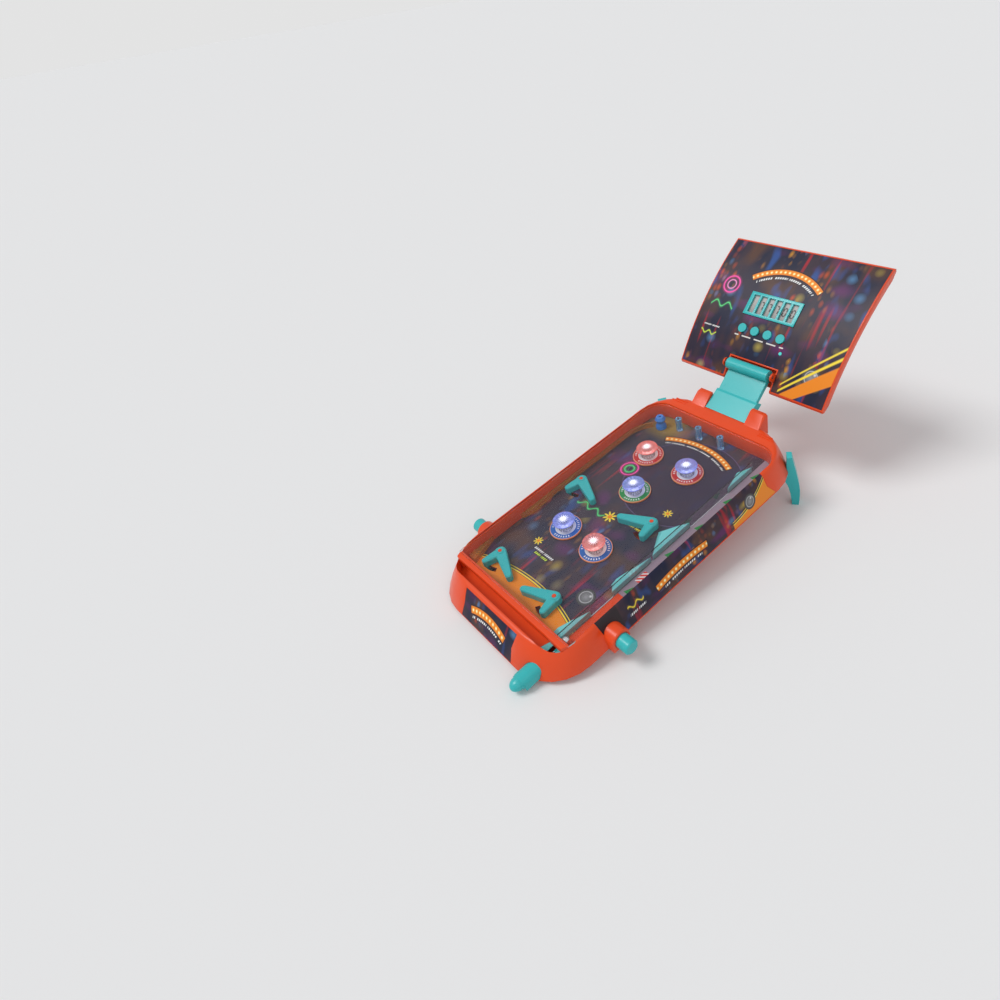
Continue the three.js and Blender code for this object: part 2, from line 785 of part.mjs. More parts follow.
// Each deflector: its lane-side ends and its point, as shares of the field's length and
// of the deflector edge's distance from the middle
const deflectors = [
  { name: 'right_front_guide', startShare: 0.0805, endShare: 0.1952, pointXShare: 0.8, pointYShare: 0.0805 },
  { name: 'right_lower_guide', startShare: 0.2833, endShare: 0.4476, pointXShare: 0.85, pointYShare: 0.3095 },
  { name: 'right_middle_guide', startShare: 0.456, endShare: 0.6238, pointXShare: 0.7068, pointYShare: 0.5476 },
  { name: 'right_upper_guide', startShare: 0.8071, endShare: 0.9286, pointXShare: 0.869, pointYShare: 0.8881 },
];

function deflector({ startShare, endShare, pointXShare, pointYShare }) {
  const start = [deflectorEdge, startShare * fieldLength];
  const end = [deflectorEdge, endShare * fieldLength];
  const point = [pointXShare * deflectorEdge, pointYShare * fieldLength];
  const middleY = (start[1] + end[1]) / 2;
  const leaned = [
    point[0] + (deflectorEdge - point[0]) * guideLean, point[1] + (middleY - point[1]) * guideLean,
  ];
  const base = -floorDrop + gap;
  return loft([
    [start, end, point].map(([x, y]) => [x, y, base]),
    [start, end, leaned].map(([x, y]) => [x, y, base + guideHeight]),
  ]);
}

const wedgeDepth = 14.6;
const wedgeStart = 36;
const wedgeEnd = 79;

function leftFrontGuide() {
  const wallX = cavityHalf - ledgeWidth - gap;
  const outline = [[-wallX, wedgeStart], [-wallX + wedgeDepth, wedgeStart], [-wallX, wedgeEnd]];
  return plate(outline, -floorDrop + gap, -floorDrop + gap + guideHeight);
}

const railDepth = 2.4;
const railBump = 7;
const railLowShare = 0.31;
const railFirstShare = 0.35;
const railWaistShare = 0.4714;
const railSecondShare = 0.51;
const railSecondEndShare = 0.53;
const railStraightShare = 0.565;
const railArchShare = 0.8214;
const railArchRadius = 62;
const railArchTurn = 42;
const wallAngle = 180;

// Long strip on the left wall, bumped out twice and curving in at the top
function leftRail() {
  const wallX = cavityHalf - ledgeWidth - gap;
  const at = (share) => share * fieldLength;
  const archCentre = -wallX + railDepth + railArchRadius;
  const inner = [
    [-wallX + railDepth / 2, at(railLowShare)], [-wallX + railBump, at(railFirstShare)],
    [-wallX + railDepth, at(railWaistShare)], [-wallX + railBump, at(railSecondShare)],
    [-wallX + railBump, at(railSecondEndShare)], [-wallX + railDepth, at(railStraightShare)],
    ...arc(archCentre, at(railArchShare), railArchRadius, wallAngle, wallAngle - railArchTurn),
  ];
  const outer = [
    ...arc(archCentre, at(railArchShare), railArchRadius + railDepth, wallAngle - railArchTurn, wallAngle),
    [-wallX, at(railLowShare)],
  ];
  return plate([...inner, ...outer].reverse(), -floorDrop + gap, -floorDrop + gap + guideHeight);
}

const dividerStart = 31;
const dividerEndShare = 0.93;
const dividerDrop = 9;

function laneDivider() {
  return block(dividerEdge - laneWall, dividerEdge, dividerStart, dividerEndShare * fieldLength,
    -floorDrop + gap, -dividerDrop);
}

// Apron: the bar across the front that carries the cover's edge; the ball passes under it
const apronFront = 19.3;
const apronRear = 29.5;
const apronStep = 26.5;
const apronSkin = 2.3;
const apronLipDrop = 10.5;
const apronChamfer = 1.2;
const cheek = 2.5;

function apron() {
  const profile = [
    [apronFront, -apronLipDrop], [apronFront + apronSkin, -apronLipDrop],
    [apronFront + apronSkin, -ledgeDrop - apronSkin], [apronRear, -ledgeDrop - apronSkin],
    [apronRear, -ledgeDrop], [apronStep, -ledgeDrop], [apronStep, -coverDrop],
    [apronFront + apronChamfer, -coverDrop], [apronFront, -coverDrop - apronChamfer],
  ];
  const bar = sideways(profile, -cavityHalf, cavityHalf);
  const cheeks = plate(cavityOutline(ledgeWidth), -floorDrop + gap, -ledgeDrop - gap)
    .subtract(plate(cavityOutline(ledgeWidth + gap + cheek), -bodyDepth, 0))
    .intersect(block(-cavityHalf, cavityHalf, apronFront, apronRear, -bodyDepth, 0));
  return bar.add(cheeks).intersect(plate(cavityOutline(ledgeWidth + gap), -bodyDepth, 0));
}

function topCover() {
  const field = plate(cavityOutline(gap), -coverDrop - coverThickness, -coverDrop);
  return field.intersect(block(-cavityHalf, cavityHalf, apronStep + gap, fieldLength, -bodyDepth, 0));
}

// Slide bars under the floor, one for each pair of flippers
const sliderTop = 33.4;
const sliderFoot = 36.4;
const sliderBarHalf = 6;
const sliderEnd = 8;
const sliderArmHalf = 6;
const sliderLugHalf = 4;
const sliderLugThickness = 3;
const sliderLugTop = 29.9;
const buttonTravel = 14.5;
const pinRoomX = 0.45;
const pinRoomY = 0.6;
const returnSpringY = 100;
const returnSpringDiameter = 6.2;
const returnSpringLength = 26;
const returnSpringTurns = 7;
const returnSpringDrop = 33.2;

// Rest place of a flipper's tail pin
function tailPinPlace({ side, x, y }) {
  const angle = THREE.MathUtils.degToRad(tailRest);
  return { x: x - side * tailArm * Math.cos(angle), y: y + tailArm * Math.sin(angle) };
}

const pinsOf = (side) => flipperPlaces.filter((place) => place.side === side).map(tailPinPlace);

// Middle of the slide bar, at its upper pin
const barMiddle = (side) => pinsOf(side)[1].x;

function slider(side) {
  const [low, high] = pinsOf(side);
  const middle = barMiddle(side);
  const span = (a, b, y0, y1, z0, z1) => block(Math.min(a, b), Math.max(a, b), y0, y1, z0, z1);
  const bar = span(middle - sliderBarHalf, middle + sliderBarHalf,
    low.y - sliderEnd, high.y + sliderEnd, -sliderFoot, -sliderTop);
  const padHalf = sliderEnd - pinRoomY;
  const pad = span(Math.min(middle, low.x) - padHalf, Math.max(middle, low.x) + padHalf,
    low.y - sliderEnd, low.y + sliderEnd, -sliderFoot, -sliderTop);
  const arm = span(middle, side * buttonInner, buttonY - sliderArmHalf, buttonY + sliderArmHalf,
    -sliderFoot, -sliderTop);
  const lugFace = middle - side * sliderBarHalf;
  const lug = span(lugFace, lugFace + side * sliderLugThickness, returnSpringY - sliderLugHalf,
    returnSpringY + sliderLugHalf, -sliderFoot, -sliderLugTop);
  const riser = span(side * buttonInner, side * (buttonInner - sliderLugThickness),
    buttonY - sliderArmHalf, buttonY + sliderArmHalf, -sliderFoot, -buttonDrop);
  const swept = tailArm * (1 - Math.cos(THREE.MathUtils.degToRad(tailRest + flipperSwing + 90)));
  const pinRooms = [low, high].map(({ x, y }) => block(
    x - tailPinRadius - pinRoomX, x + tailPinRadius + pinRoomX,
    y - tailPinRadius - pinRoomY, y + swept + tailPinRadius + pinRoomY, -bodyDepth, 0));
  return cut(join([bar, pad, arm, lug, riser]), pinRooms);
}

function returnSpring(side) {
  const seat = barMiddle(side) - side * (sliderBarHalf + gap);
  const spring = alongX(coil(returnSpringDiameter, returnSpringLength, returnSpringTurns));
  const start = side === left ? seat : seat - returnSpringLength;
  return spring.translate([start, returnSpringY, -returnSpringDrop]);
}

// Buttons: round caps that slide in their bosses against a flange
const buttonProud = 17;
const buttonReach = bossFace + buttonProud;
const buttonRound = 1.5;
const buttonFlange = 2.2;
const buttonInner = bossFace - bossWall - buttonRunning - buttonFlange;

function button(side) {
  const profile = [
    [0, buttonInner + gap], [buttonFlangeRadius, buttonInner + gap],
    [buttonFlangeRadius, buttonInner + buttonFlange], [buttonRadius, buttonInner + buttonFlange],
    [buttonRadius, buttonReach - buttonRound], [buttonRadius - buttonRound, buttonReach], [0, buttonReach],
  ];
  const cap = alongX(turned(profile));
  const placed = side === left ? cap.mirror([1, 0, 0]) : cap;
  return placed.translate([0, buttonY, -buttonDrop]);
}

// Bottom cover with the posts that carry the floor, slider ribs, spring seats and
// the battery bay
const postRadiusUnder = 4;
const supportShares = [
  [-0.83, 0.05], [0, 0.07], [0.93, 0.16], [-0.05, 0.28], [0.85, 0.42], [0.03, 0.52],
  [-0.6, 0.68], [0.6, 0.66], [-0.86, 0.9], [0, 0.9], [0.86, 0.9],
];
const sliderRibHalf = 22;
const sliderRibWidth = 2;
const seatLug = 3;
const bayHalf = 52;
const bayFront = 5.5;
const bayRear = 25.5;
const bayDrop = 22.2;
const baySkin = 1.6;
const doorLip = 1.4;
const legSocketRadius = 4.3;
const legSocketDepth = 11;

function sliderRibs(side) {
  const middle = barMiddle(side) - side * buttonTravel / 2;
  const [low, high] = pinsOf(side);
  return [(low.y + buttonY) / 2, (buttonY + high.y) / 2, high.y - 2 * sliderEnd].map((y) => block(
    middle - sliderRibHalf, middle + sliderRibHalf, y, y + sliderRibWidth,
    coverTop - coverPlate / 2, -sliderFoot - gap));
}

function springSeat(side) {
  const face = barMiddle(side) - side * (sliderBarHalf + returnSpringLength + 2 * gap);
  const back = face - side * seatLug;
  return block(Math.min(face, back), Math.max(face, back), returnSpringY - sliderLugHalf,
    returnSpringY + sliderLugHalf, coverTop - coverPlate / 2, -sliderLugTop);
}

function plungerSeat() {
  const half = webHalf + wall;
  const post = block(plungerX - half, plungerX + half,
    springSeatFront, springSeatFront + springSeatThickness,
    coverTop - coverPlate / 2, -fieldUnderside - 2 * gap);
  const hole = alongY(rod(plungerRodRadius + gap, -springSeatFront - overrun, -springSeatFront + overrun))
    .translate([plungerX, 0, -springDrop]);
  return post.subtract(hole);
}

const legAnchorInset = 52.5;
const legAnchorX = bodyWidth / 2 - legAnchorInset;
const legAnchorSetback = 27;
const legAnchorY = fieldLength - legAnchorSetback;
const legTurn = 38;
const legPegReach = 50;

function legPegPlace(side) {
  const angle = THREE.MathUtils.degToRad(legTurn);
  return {
    x: side * (legAnchorX + legPegReach * Math.cos(angle)),
    y: legAnchorY + legPegReach * Math.sin(angle),
  };
}

function legSocket(side) {
  const { x, y } = legPegPlace(side);
  return rodZ(legSocketRadius + baySkin, coverTop - coverPlate / 2, coverTop + legSocketDepth, x, y);
}

function bottomCover() {
  const inset = wall + gap;
  const base = loft([
    bodyRing(bodyDepth, inset), bodyRing(bodyDepth - coverPlate, inset),
  ]);
  const supports = supportShares.map(([xShare, yShare]) => rodZ(postRadiusUnder,
    coverTop - coverPlate / 2, -fieldUnderside - gap, xShare * cavityHalf, yShare * fieldLength));
  const bay = behindField(block(-bayHalf - baySkin, bayHalf + baySkin, bayFront - baySkin,
    bayRear + baySkin, coverTop - coverPlate / 2, -bayDrop + baySkin));
  const bayRoom = behindField(
    block(-bayHalf, bayHalf, bayFront, bayRear, -bodyDepth - overrun, -bayDrop));
  const doorRoom = behindField(block(-bayHalf - doorLip, bayHalf + doorLip, bayFront - doorLip,
    bayRear + doorLip, -bodyDepth - overrun, coverTop - gap));
  const sockets = [left, right].map((side) => {
    const { x, y } = legPegPlace(side);
    return rodZ(legSocketRadius, -bodyDepth - overrun, coverTop + legSocketDepth + overrun, x, y);
  });
  return cut(join([
    base, ...supports, bay, plungerSeat(), legSocket(left), legSocket(right),
    ...sliderRibs(left), ...sliderRibs(right), springSeat(left), springSeat(right),
  ]), [bayRoom, doorRoom, ...sockets]);
}

function batteryDoor() {
  const reach = doorLip - gap;
  return behindField(block(-bayHalf - reach, bayHalf + reach, bayFront - reach, bayRear + reach,
    -bodyDepth, coverTop - 2 * gap));
}

// Front foot: a rubber strip, cut level with the table
const footInset = 57.5;
const footHalf = bodyWidth / 2 - footInset;
const footFront = -20;
const footRear = -6;

function frontFoot() {
  const profile = [
    [footFront, tableHeight(footFront)], [footRear, tableHeight(footRear)],
    [footRear, -bodyDepth - gap], [footFront, -bodyDepth - gap],
  ];
  return sideways(profile, -footHalf, footHalf);
}

// Rear legs: curved claws at the two rear corners, pegged into the bottom cover
const legHalf = 6.5;
const legPegRadius = 4;
const legPegRise = 12;
const legTopReach = 62;
const legTopDrop = 12;
const legShoulderReach = 69;
const legBulgeReach = 80;
const legBulgeDrop = 75;
const legFootOuter = 78;
const legFootInner = 70;
const legWaistReach = 67;
const legWaistDrop = 79;
const legHeelReach = 58;
const legHeelDrop = 52;
const legRootReach = 43;

// The leg's outline in its own upright plane: [distance from the anchor, height]
function legOutline(footZ) {
  const outer = new THREE.CatmullRomCurve3([
    new THREE.Vector3(legShoulderReach, -legTopDrop, 0),
    new THREE.Vector3((legShoulderReach + legBulgeReach) / 2, -bodyDepth, 0),
    new THREE.Vector3(legBulgeReach, -legBulgeDrop, 0),
    new THREE.Vector3(legFootOuter, footZ, 0),
  ]).getPoints(2 * cornerSteps).map(({ x, y }) => [x, y]);
  const inner = new THREE.CatmullRomCurve3([
    new THREE.Vector3(legFootInner, footZ, 0),
    new THREE.Vector3(legWaistReach, -legWaistDrop, 0),
    new THREE.Vector3(legHeelReach, -legHeelDrop, 0),
    new THREE.Vector3(legRootReach, -bodyDepth - 2 * gap, 0),
  ]).getPoints(cornerSteps).map(({ x, y }) => [x, y]);
  return [...outer, ...inner, [legRootReach, -bodyDepth - gap], [legTopReach, -bodyDepth - gap],
    [legTopReach, -legTopDrop]];
}

function leg(side) {
  const deepest = tableHeight(legAnchorY + legFootOuter) - overrun;
  const blade = lengthways(legOutline(deepest), -legHalf, legHalf)
    .rotate([0, 0, legTurn]).translate([legAnchorX, legAnchorY, 0]);
  const { x, y } = legPegPlace(right);
  const peg = rodZ(legPegRadius, -bodyDepth - 2 * gap, -bodyDepth + legPegRise, x, y);
  const underTable = sideways([
    [fieldLength / 2, tableHeight(fieldLength / 2)], [fieldLength / 2, 2 * deepest],
    [2 * fieldLength, 2 * deepest], [2 * fieldLength, tableHeight(2 * fieldLength)],
  ], 0, bodyWidth);
  const whole = cut(blade, [underTable, bodyShape(-gap)]).add(peg);
  return side === right ? whole : whole.mirror([1, 0, 0]);
}

// Bracket: the wedge foot, a sloping slab and the knuckle that the board tilts on
const hingeY = 82;
const hingeZ = 46;
const knuckleRadius = 8.5;
const knuckleHalf = 35.4;
const slabHalf = 33.5;
const slabThickness = 7;
const slabEndY = 81;
const slabEndZ = 38.5;
const pinRadius = 2;
const notchHalf = 40;
const backSkin = 2;
const pinHalf = notchHalf + backSkin;

function bracket() {
  const foot = sideways(bracketFootProfile, -bracketHalf, bracketHalf);
  const slope = Math.atan2(slabEndZ - footStepZ, slabEndY - footStepY);
  const back = [Math.sin(slope) * slabThickness, -Math.cos(slope) * slabThickness];
  const slabProfile = [
    [footTopY, footTopZ - wall], [footTopY + back[0], footTopZ - wall + back[1]],
    [slabEndY + back[0], slabEndZ + back[1]], [hingeY + knuckleRadius / 2, hingeZ],
    [hingeY - knuckleRadius / 2, hingeZ], [slabEndY, slabEndZ], [footStepY, footStepZ],
  ];
  const slab = sideways(slabProfile, -slabHalf, slabHalf);
  const knuckle = rodX(knuckleRadius, -knuckleHalf, knuckleHalf, hingeY, hingeZ);
  const pinBore = rodX(pinRadius + gap, -pinHalf, pinHalf, hingeY, hingeZ);
  return behindField(join([foot, slab, knuckle]).subtract(pinBore));
}

// Score board, in a frame on the hinge axis: z up along the board, -y out of its face
const boardLean = 48.7;
const boardHalf = 125;
const boardHeight = 204;
const boardBow = 13;
const boardThickness = 13;
const boardBottom = -19.4;
const boardChord = 10.9;
const boardSkin = 2.4;
const boardLip = 4;
const boardFlare = 4;
const boardSteps = 10;
const notchHeight = 31;
const frontInset = 1.6;

const boardFace = (z) => {
  const share = (z - boardBottom) / boardHeight;
  return boardChord - 4 * boardBow * share * (1 - share);
};

// Points down the board at a depth behind its face, between two heights
function boardCurve(depth, from, to) {
  return Array.from({ length: boardSteps + 1 }, (_, i) => {
    const z = from + (to - from) * i / boardSteps;
    return [boardFace(z) + depth, z];
  });
}

// Room for the knuckle at the middle of the lower edge, down to a depth behind the face
function notchRoom(clearance, depth) {
  const top = boardBottom + notchHeight + clearance;
  const low = boardBottom - overrun;
  const profile = [...boardCurve(depth, low, top).reverse(), ...boardCurve(-2 * overrun, low, top)];
  return sideways(profile, -notchHalf - clearance, notchHalf + clearance);
}

// Display opening, keys and lamp, by their height on the board
const displayMiddle = 92;
const displayX = -6;
const displayHalfWidth = 43;
const displayHalfHeight = 17.5;
const displayBorder = 4;
const cellBar = 3;
const cellCount = 6;
const keyHeight = 54;
const keyShares = [-0.378, -0.126, 0.126, 0.378];
const keyRadius = 6.6;
const keyRunning = 0.3;
const keyFlange = 1.6;
const keyProud = 2.4;
const lampX = 35;
const lampHeight = 35;
const lampRadius = 2.4;

const keyPlaces = keyShares.map((share, i) => ({
  name: `score_key_${i + 1}`, x: displayX + share * 2 * displayHalfWidth,
}));

// Slope of the board's face at a height, to square small pieces to it
const faceTilt = (z) => -THREE.MathUtils.radToDeg(
  Math.atan2(boardFace(z + overrun) - boardFace(z - overrun), 2 * overrun));

// A solid drawn facing -y about the origin, set square on the board's face
const onFace = (body, x, z, depth) => body.rotate([faceTilt(z), 0, 0])
  .translate([x, boardFace(z) + depth, z]);

const frontRod = (radius, start, end) => alongY(rod(radius, -end, -start));

function boardFront() {
  const bottom = boardBottom + frontInset;
  const top = boardBottom + boardHeight - frontInset;
  const profile = [...boardCurve(boardSkin, bottom, top).reverse(), ...boardCurve(0, bottom, top)];
  const sheet = sideways(profile, -boardHalf + frontInset, boardHalf - frontInset);
  const window = onFace(displayBlock(displayHalfWidth - displayBorder / 2,
    displayHalfHeight - displayBorder / 2, -overrun, overrun), displayX, displayMiddle, 0);
  const keys = keyPlaces.map(({ x }) => onFace(
    frontRod(keyRadius + keyRunning, -overrun, overrun), x, keyHeight, 0));
  const lamp = onFace(frontRod(lampRadius + gap, -overrun, overrun), lampX, lampHeight, 0);
  return cut(sheet, [window, ...keys, lamp, notchRoom(backSkin + gap, boardThickness)]);
}

// Block about the origin: half width, half height and its span in depth
const displayBlock = (halfWidth, halfHeight, front, back) => block(
  -halfWidth, halfWidth, front, back, -halfHeight, halfHeight);

function boardBack() {
  const top = boardBottom + boardHeight;
  const rear = boardThickness;
  const outline = [
    ...boardCurve(0, boardBottom, top),
    [boardFace(top) + boardFlare, top + boardFlare / 2], [boardFace(top) + 2 * boardFlare, top],
    ...boardCurve(rear, boardBottom + 3 * boardFlare, top - 3 * boardFlare).reverse(),
    [boardFace(boardBottom) + 2 * boardFlare, boardBottom],
    [boardFace(boardBottom) + boardFlare, boardBottom - boardFlare / 2],
  ].reverse();
  const whole = sideways(outline, -boardHalf, boardHalf);
  const slant = 3 * boardFlare + backSkin / 2;
  const roomCorner = (z) => [boardFace(z) + 2 * boardFlare - backSkin / 2, z];
  const roomProfile = [
    roomCorner(top - boardLip),
    ...boardCurve(rear - backSkin, boardBottom + slant, top - slant).reverse(),
    roomCorner(boardBottom + boardLip),
    ...boardCurve(-overrun, boardBottom + boardLip, top - boardLip),
  ];
  const room = sideways(roomProfile, -boardHalf + boardLip, boardHalf - boardLip);
  const seat = sideways([
    ...boardCurve(boardSkin + gap, boardBottom + frontInset - gap, top - frontInset + gap).reverse(),
    ...boardCurve(-overrun, boardBottom + frontInset - gap, top - frontInset + gap),
  ], -boardHalf + frontInset - gap, boardHalf - frontInset + gap);
  const around = notchRoom(backSkin, boardThickness);
  const shell = cut(whole, [
    room.subtract(around), seat.subtract(around), notchRoom(0, boardThickness - backSkin),
  ]);
  return join([shell, hingeEar(left), hingeEar(right)]);
}

// Ear beside the notch that holds one end of the hinge pin
const earRadius = 6;

function hingeEar(side) {
  const inner = side * notchHalf;
  const outer = side * (notchHalf + backSkin);
  const x0 = Math.min(inner, outer);
  const x1 = Math.max(inner, outer);
  const boss = rodX(earRadius, x0, x1, 0, 0);
  const arm = block(x0, x1, 0, boardFace(0) + boardThickness - backSkin, -earRadius, earRadius);
  return boss.add(arm).subtract(rodX(pinRadius + gap / 2, x0 - overrun, x1 + overrun, 0, 0));
}

const hingePin = () => rodX(pinRadius, -pinHalf + gap, pinHalf - gap, 0, 0);

// Display: a bezel with a window for each digit, a dark pane behind it and the circuit board
function displayBezel() {
  const frame = displayBlock(displayHalfWidth, displayHalfHeight, -boardSkin / 2, -gap);
  const plug = displayBlock(displayHalfWidth - displayBorder / 2 - gap,
    displayHalfHeight - displayBorder / 2 - gap, -2 * gap, boardSkin);
  const inner = displayHalfWidth - displayBorder;
  const pitch = 2 * inner / cellCount;
  const cells = Array.from({ length: cellCount }, (_, i) => {
    const middle = -inner + (i + 1 / 2) * pitch;
    return block(middle - (pitch - cellBar) / 2, middle + (pitch - cellBar) / 2, -overrun, overrun,
      -displayHalfHeight + displayBorder, displayHalfHeight - displayBorder);
  });
  return onFace(cut(frame.add(plug), cells), displayX, displayMiddle, 0);
}

const paneThickness = 1.2;
const paneFront = boardSkin + gap;

function displayPane() {
  const border = displayBorder / 2 + gap;
  return onFace(displayBlock(displayHalfWidth - border, displayHalfHeight - border,
    paneFront, paneFront + paneThickness), displayX, displayMiddle, 0);
}

const circuitThickness = 1.6;
const circuitHalf = 50;
const circuitLow = 24;
const circuitHigh = 112;
const circuitDepth = 8;

function circuitBoard() {
  const middle = (circuitLow + circuitHigh) / 2;
  const tilt = -THREE.MathUtils.radToDeg(
    Math.atan2(boardFace(circuitHigh) - boardFace(circuitLow), circuitHigh - circuitLow));
  const half = (circuitHigh - circuitLow) / 2;
  const face = block(-circuitHalf, circuitHalf, 0, circuitThickness, -half, half)
    .rotate([tilt, 0, 0]).translate([0, boardFace(middle) + circuitDepth, middle]);
  const lamp = onFace(frontRod(lampRadius, -gap, circuitDepth), lampX, lampHeight, 0);
  return face.add(lamp);
}

function scoreKey({ x }) {
  const cap = frontRod(keyRadius, -keyProud, boardSkin + gap);
  const flange = frontRod(keyRadius + keyFlange, boardSkin + gap, boardSkin + gap + keyFlange);
  return onFace(cap.add(flange), x, keyHeight, 0);
}

// Assembly

const body = new THREE.Group();
const score = new THREE.Group();

body.add(part('housing', housing(), orange));
body.add(part('bottom_cover', bottomCover(), orange));
body.add(part('battery_door', batteryDoor(), orange));
body.add(part('front_foot', frontFoot(), dark));
body.add(part('playfield', playfield(), print));
body.add(part('top_cover', topCover(), clear));
body.add(part('front_panel', frontPanel(), print));
body.add(part('left_panel', sidePanel(left), print));
body.add(part('right_panel', sidePanel(right), print));
body.add(part('apron', apron(), orange));
body.add(part('lane_floor', inlay(chuteOutline), orange));
body.add(part('corner_plate', inlay(cornerOutline), teal));
body.add(part('lane_divider', laneDivider(), clear));
body.add(part('left_front_guide', leftFrontGuide(), amber));
body.add(part('left_rail', leftRail(), amber));
for (const guide of deflectors) {
  body.add(part(guide.name, deflector(guide), teal));
}
for (const place of flipperPlaces) {
  const mesh = part(place.name, flipper(place), teal);
  mesh.position.set(place.x, place.y, 0);
  body.add(mesh);
}
bumperPlaces.forEach(({ x, y, ring }, i) => {
  const ringMesh = part(`bumper_ring_${i + 1}`, bumperRing(), ring);
  const capMesh = part(`bumper_cap_${i + 1}`, bumperCap(), clear);
  ringMesh.position.set(x, y, 0);
  capMesh.position.set(x, y, 0);
  body.add(ringMesh, capMesh);
});
const corner = part('corner_post', cornerPost(), blue);
corner.position.set(cornerPostPlace.xShare * cavityHalf, cornerPostPlace.yShare * fieldLength, 0);
body.add(corner);
tubePlaceShares.forEach(([xShare, yShare], i) => {
  const mesh = part(`rear_post_${i + 1}`, rearTube(), clear);
  mesh.position.set(xShare * cavityHalf, yShare * fieldLength, 0);
  body.add(mesh);
});
for (const side of [left, right]) {
  const name = side === left ? 'left' : 'right';
  body.add(part(`${name}_slider`, slider(side), dark));
  body.add(part(`${name}_button`, button(side), teal));
  body.add(part(`${name}_spring`, returnSpring(side), steel));
  body.add(part(`${name}_leg`, leg(side), teal));
}
body.add(part('plunger', plunger(), teal));
body.add(part('plunger_spring', plungerSpring(), steel));

// Steel ball, resting on the lane floor against the paddle
const ballInset = 19.5;
const ballX = cavityHalf - ballInset;
const ball = new THREE.Mesh(new THREE.SphereGeometry(ballDiameter / 2, roundSteps, roundSteps / 2),
  new THREE.MeshStandardMaterial(steel));
ball.name = 'ball';
ball.geometry = sealed(ball.geometry);
ball.position.set(ballX, paddleRear + gap + ballDiameter / 2, -floorDrop + gap + ballDiameter / 2);
body.add(ball);

body.add(part('bracket', bracket(), teal));
score.position.set(0, fieldLength + hingeY, hingeZ);
score.rotation.x = -THREE.MathUtils.degToRad(boardLean);
score.add(part('hinge_pin', hingePin(), steel));
score.add(part('board_front', boardFront(), print));
score.add(part('board_back', boardBack(), orange));
score.add(part('display_bezel', displayBezel(), teal));
score.add(part('display_pane', displayPane(), dark));
score.add(part('circuit_board', circuitBoard(), green));
for (const place of keyPlaces) {
  score.add(part(place.name, scoreKey(place), teal));
}
body.add(score);

// Lean the body back and bring the front foot's rest face to the origin
const game = new THREE.Group();
const footMiddle = (footFront + footRear) / 2;
const restPoint = new THREE.Vector3(0, footMiddle, tableHeight(footMiddle))
  .applyAxisAngle(new THREE.Vector3(1, 0, 0), incline);
body.rotation.x = incline;
body.position.copy(restPoint.negate());
game.add(body);

export default game;
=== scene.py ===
import json
import math

import bpy
import numpy as np
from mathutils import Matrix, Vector


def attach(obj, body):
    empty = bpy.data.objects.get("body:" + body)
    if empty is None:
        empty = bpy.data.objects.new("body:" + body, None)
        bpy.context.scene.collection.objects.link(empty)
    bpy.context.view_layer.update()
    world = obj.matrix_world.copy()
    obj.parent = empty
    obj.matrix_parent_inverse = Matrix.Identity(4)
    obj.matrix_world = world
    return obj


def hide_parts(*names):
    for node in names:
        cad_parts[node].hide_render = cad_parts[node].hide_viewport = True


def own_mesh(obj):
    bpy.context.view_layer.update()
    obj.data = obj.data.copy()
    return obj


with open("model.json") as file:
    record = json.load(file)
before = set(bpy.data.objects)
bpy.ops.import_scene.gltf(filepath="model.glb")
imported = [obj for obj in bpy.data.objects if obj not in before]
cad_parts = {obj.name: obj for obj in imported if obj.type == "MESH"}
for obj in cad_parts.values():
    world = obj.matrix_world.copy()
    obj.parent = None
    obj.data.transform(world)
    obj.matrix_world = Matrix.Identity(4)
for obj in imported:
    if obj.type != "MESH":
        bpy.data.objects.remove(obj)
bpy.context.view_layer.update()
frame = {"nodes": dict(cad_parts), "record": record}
cadNodes = frame["nodes"]
print("frame loaded with", len(cadNodes), "nodes")

millimetre = 0.001

# The game is drawn in millimetres on its own tray: x to the player's right, y along the
# field from the front rim, z up from the rim. The score board has its own frame on the
# hinge: x the same, y into the board, z up along it.
tray = {"incline": 7.5, "lift": (0.0, 7.06995, 45.89528)}
board = {
    "lean": 48.7, "hinge": (0.0, 502.0, 46.0),
    "bottom": -19.4, "height": 204.0, "bow": 13.0, "chord": 10.9,
}
field = {"half": 114.5, "length": 420.0, "floor": -26.7, "gap": 0.3, "laneEdge": 88.6, "bar": 27.0}


# Turn about x: (x, y cos a - z sin a, y sin a + z cos a)
def turnedAboutX(points, degrees):
    a = math.radians(degrees)
    x, y, z = np.asarray(points, float).T
    return np.stack([x, y * math.cos(a) - z * math.sin(a), y * math.sin(a) + z * math.cos(a)], 1)


# Tray millimetres to metres on the table: turned by the incline, then lifted
def onTray(points):
    return (turnedAboutX(points, tray["incline"]) + np.array(tray["lift"])) * millimetre


# Board millimetres to metres on the table: turned back by the lean, set on the hinge
def onBoard(points):
    return onTray(turnedAboutX(points, -board["lean"]) + np.array(board["hinge"]))


# Depth of the board's bowed face at a height: chord - 4 bow s (1 - s), s the height's share
def boardFace(z):
    share = (np.asarray(z, float) - board["bottom"]) / board["height"]
    return board["chord"] - 4 * board["bow"] * share * (1 - share)


def newObject(name, data):
    thing = bpy.data.objects.new(name, data)
    bpy.context.scene.collection.objects.link(thing)
    return thing


# A mesh object from points in metres and faces
def newPiece(name, points, faces, body, material, smooth=True):
    mesh = bpy.data.meshes.new(name)
    mesh.from_pydata(np.asarray(points, float).tolist(), [], [list(f) for f in faces])
    mesh.validate()
    mesh.polygons.foreach_set("use_smooth", np.full(len(mesh.polygons), smooth))
    mesh.update()
    mesh.materials.append(material)
    piece = newObject(name, mesh)
    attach(piece, body)
    return piece


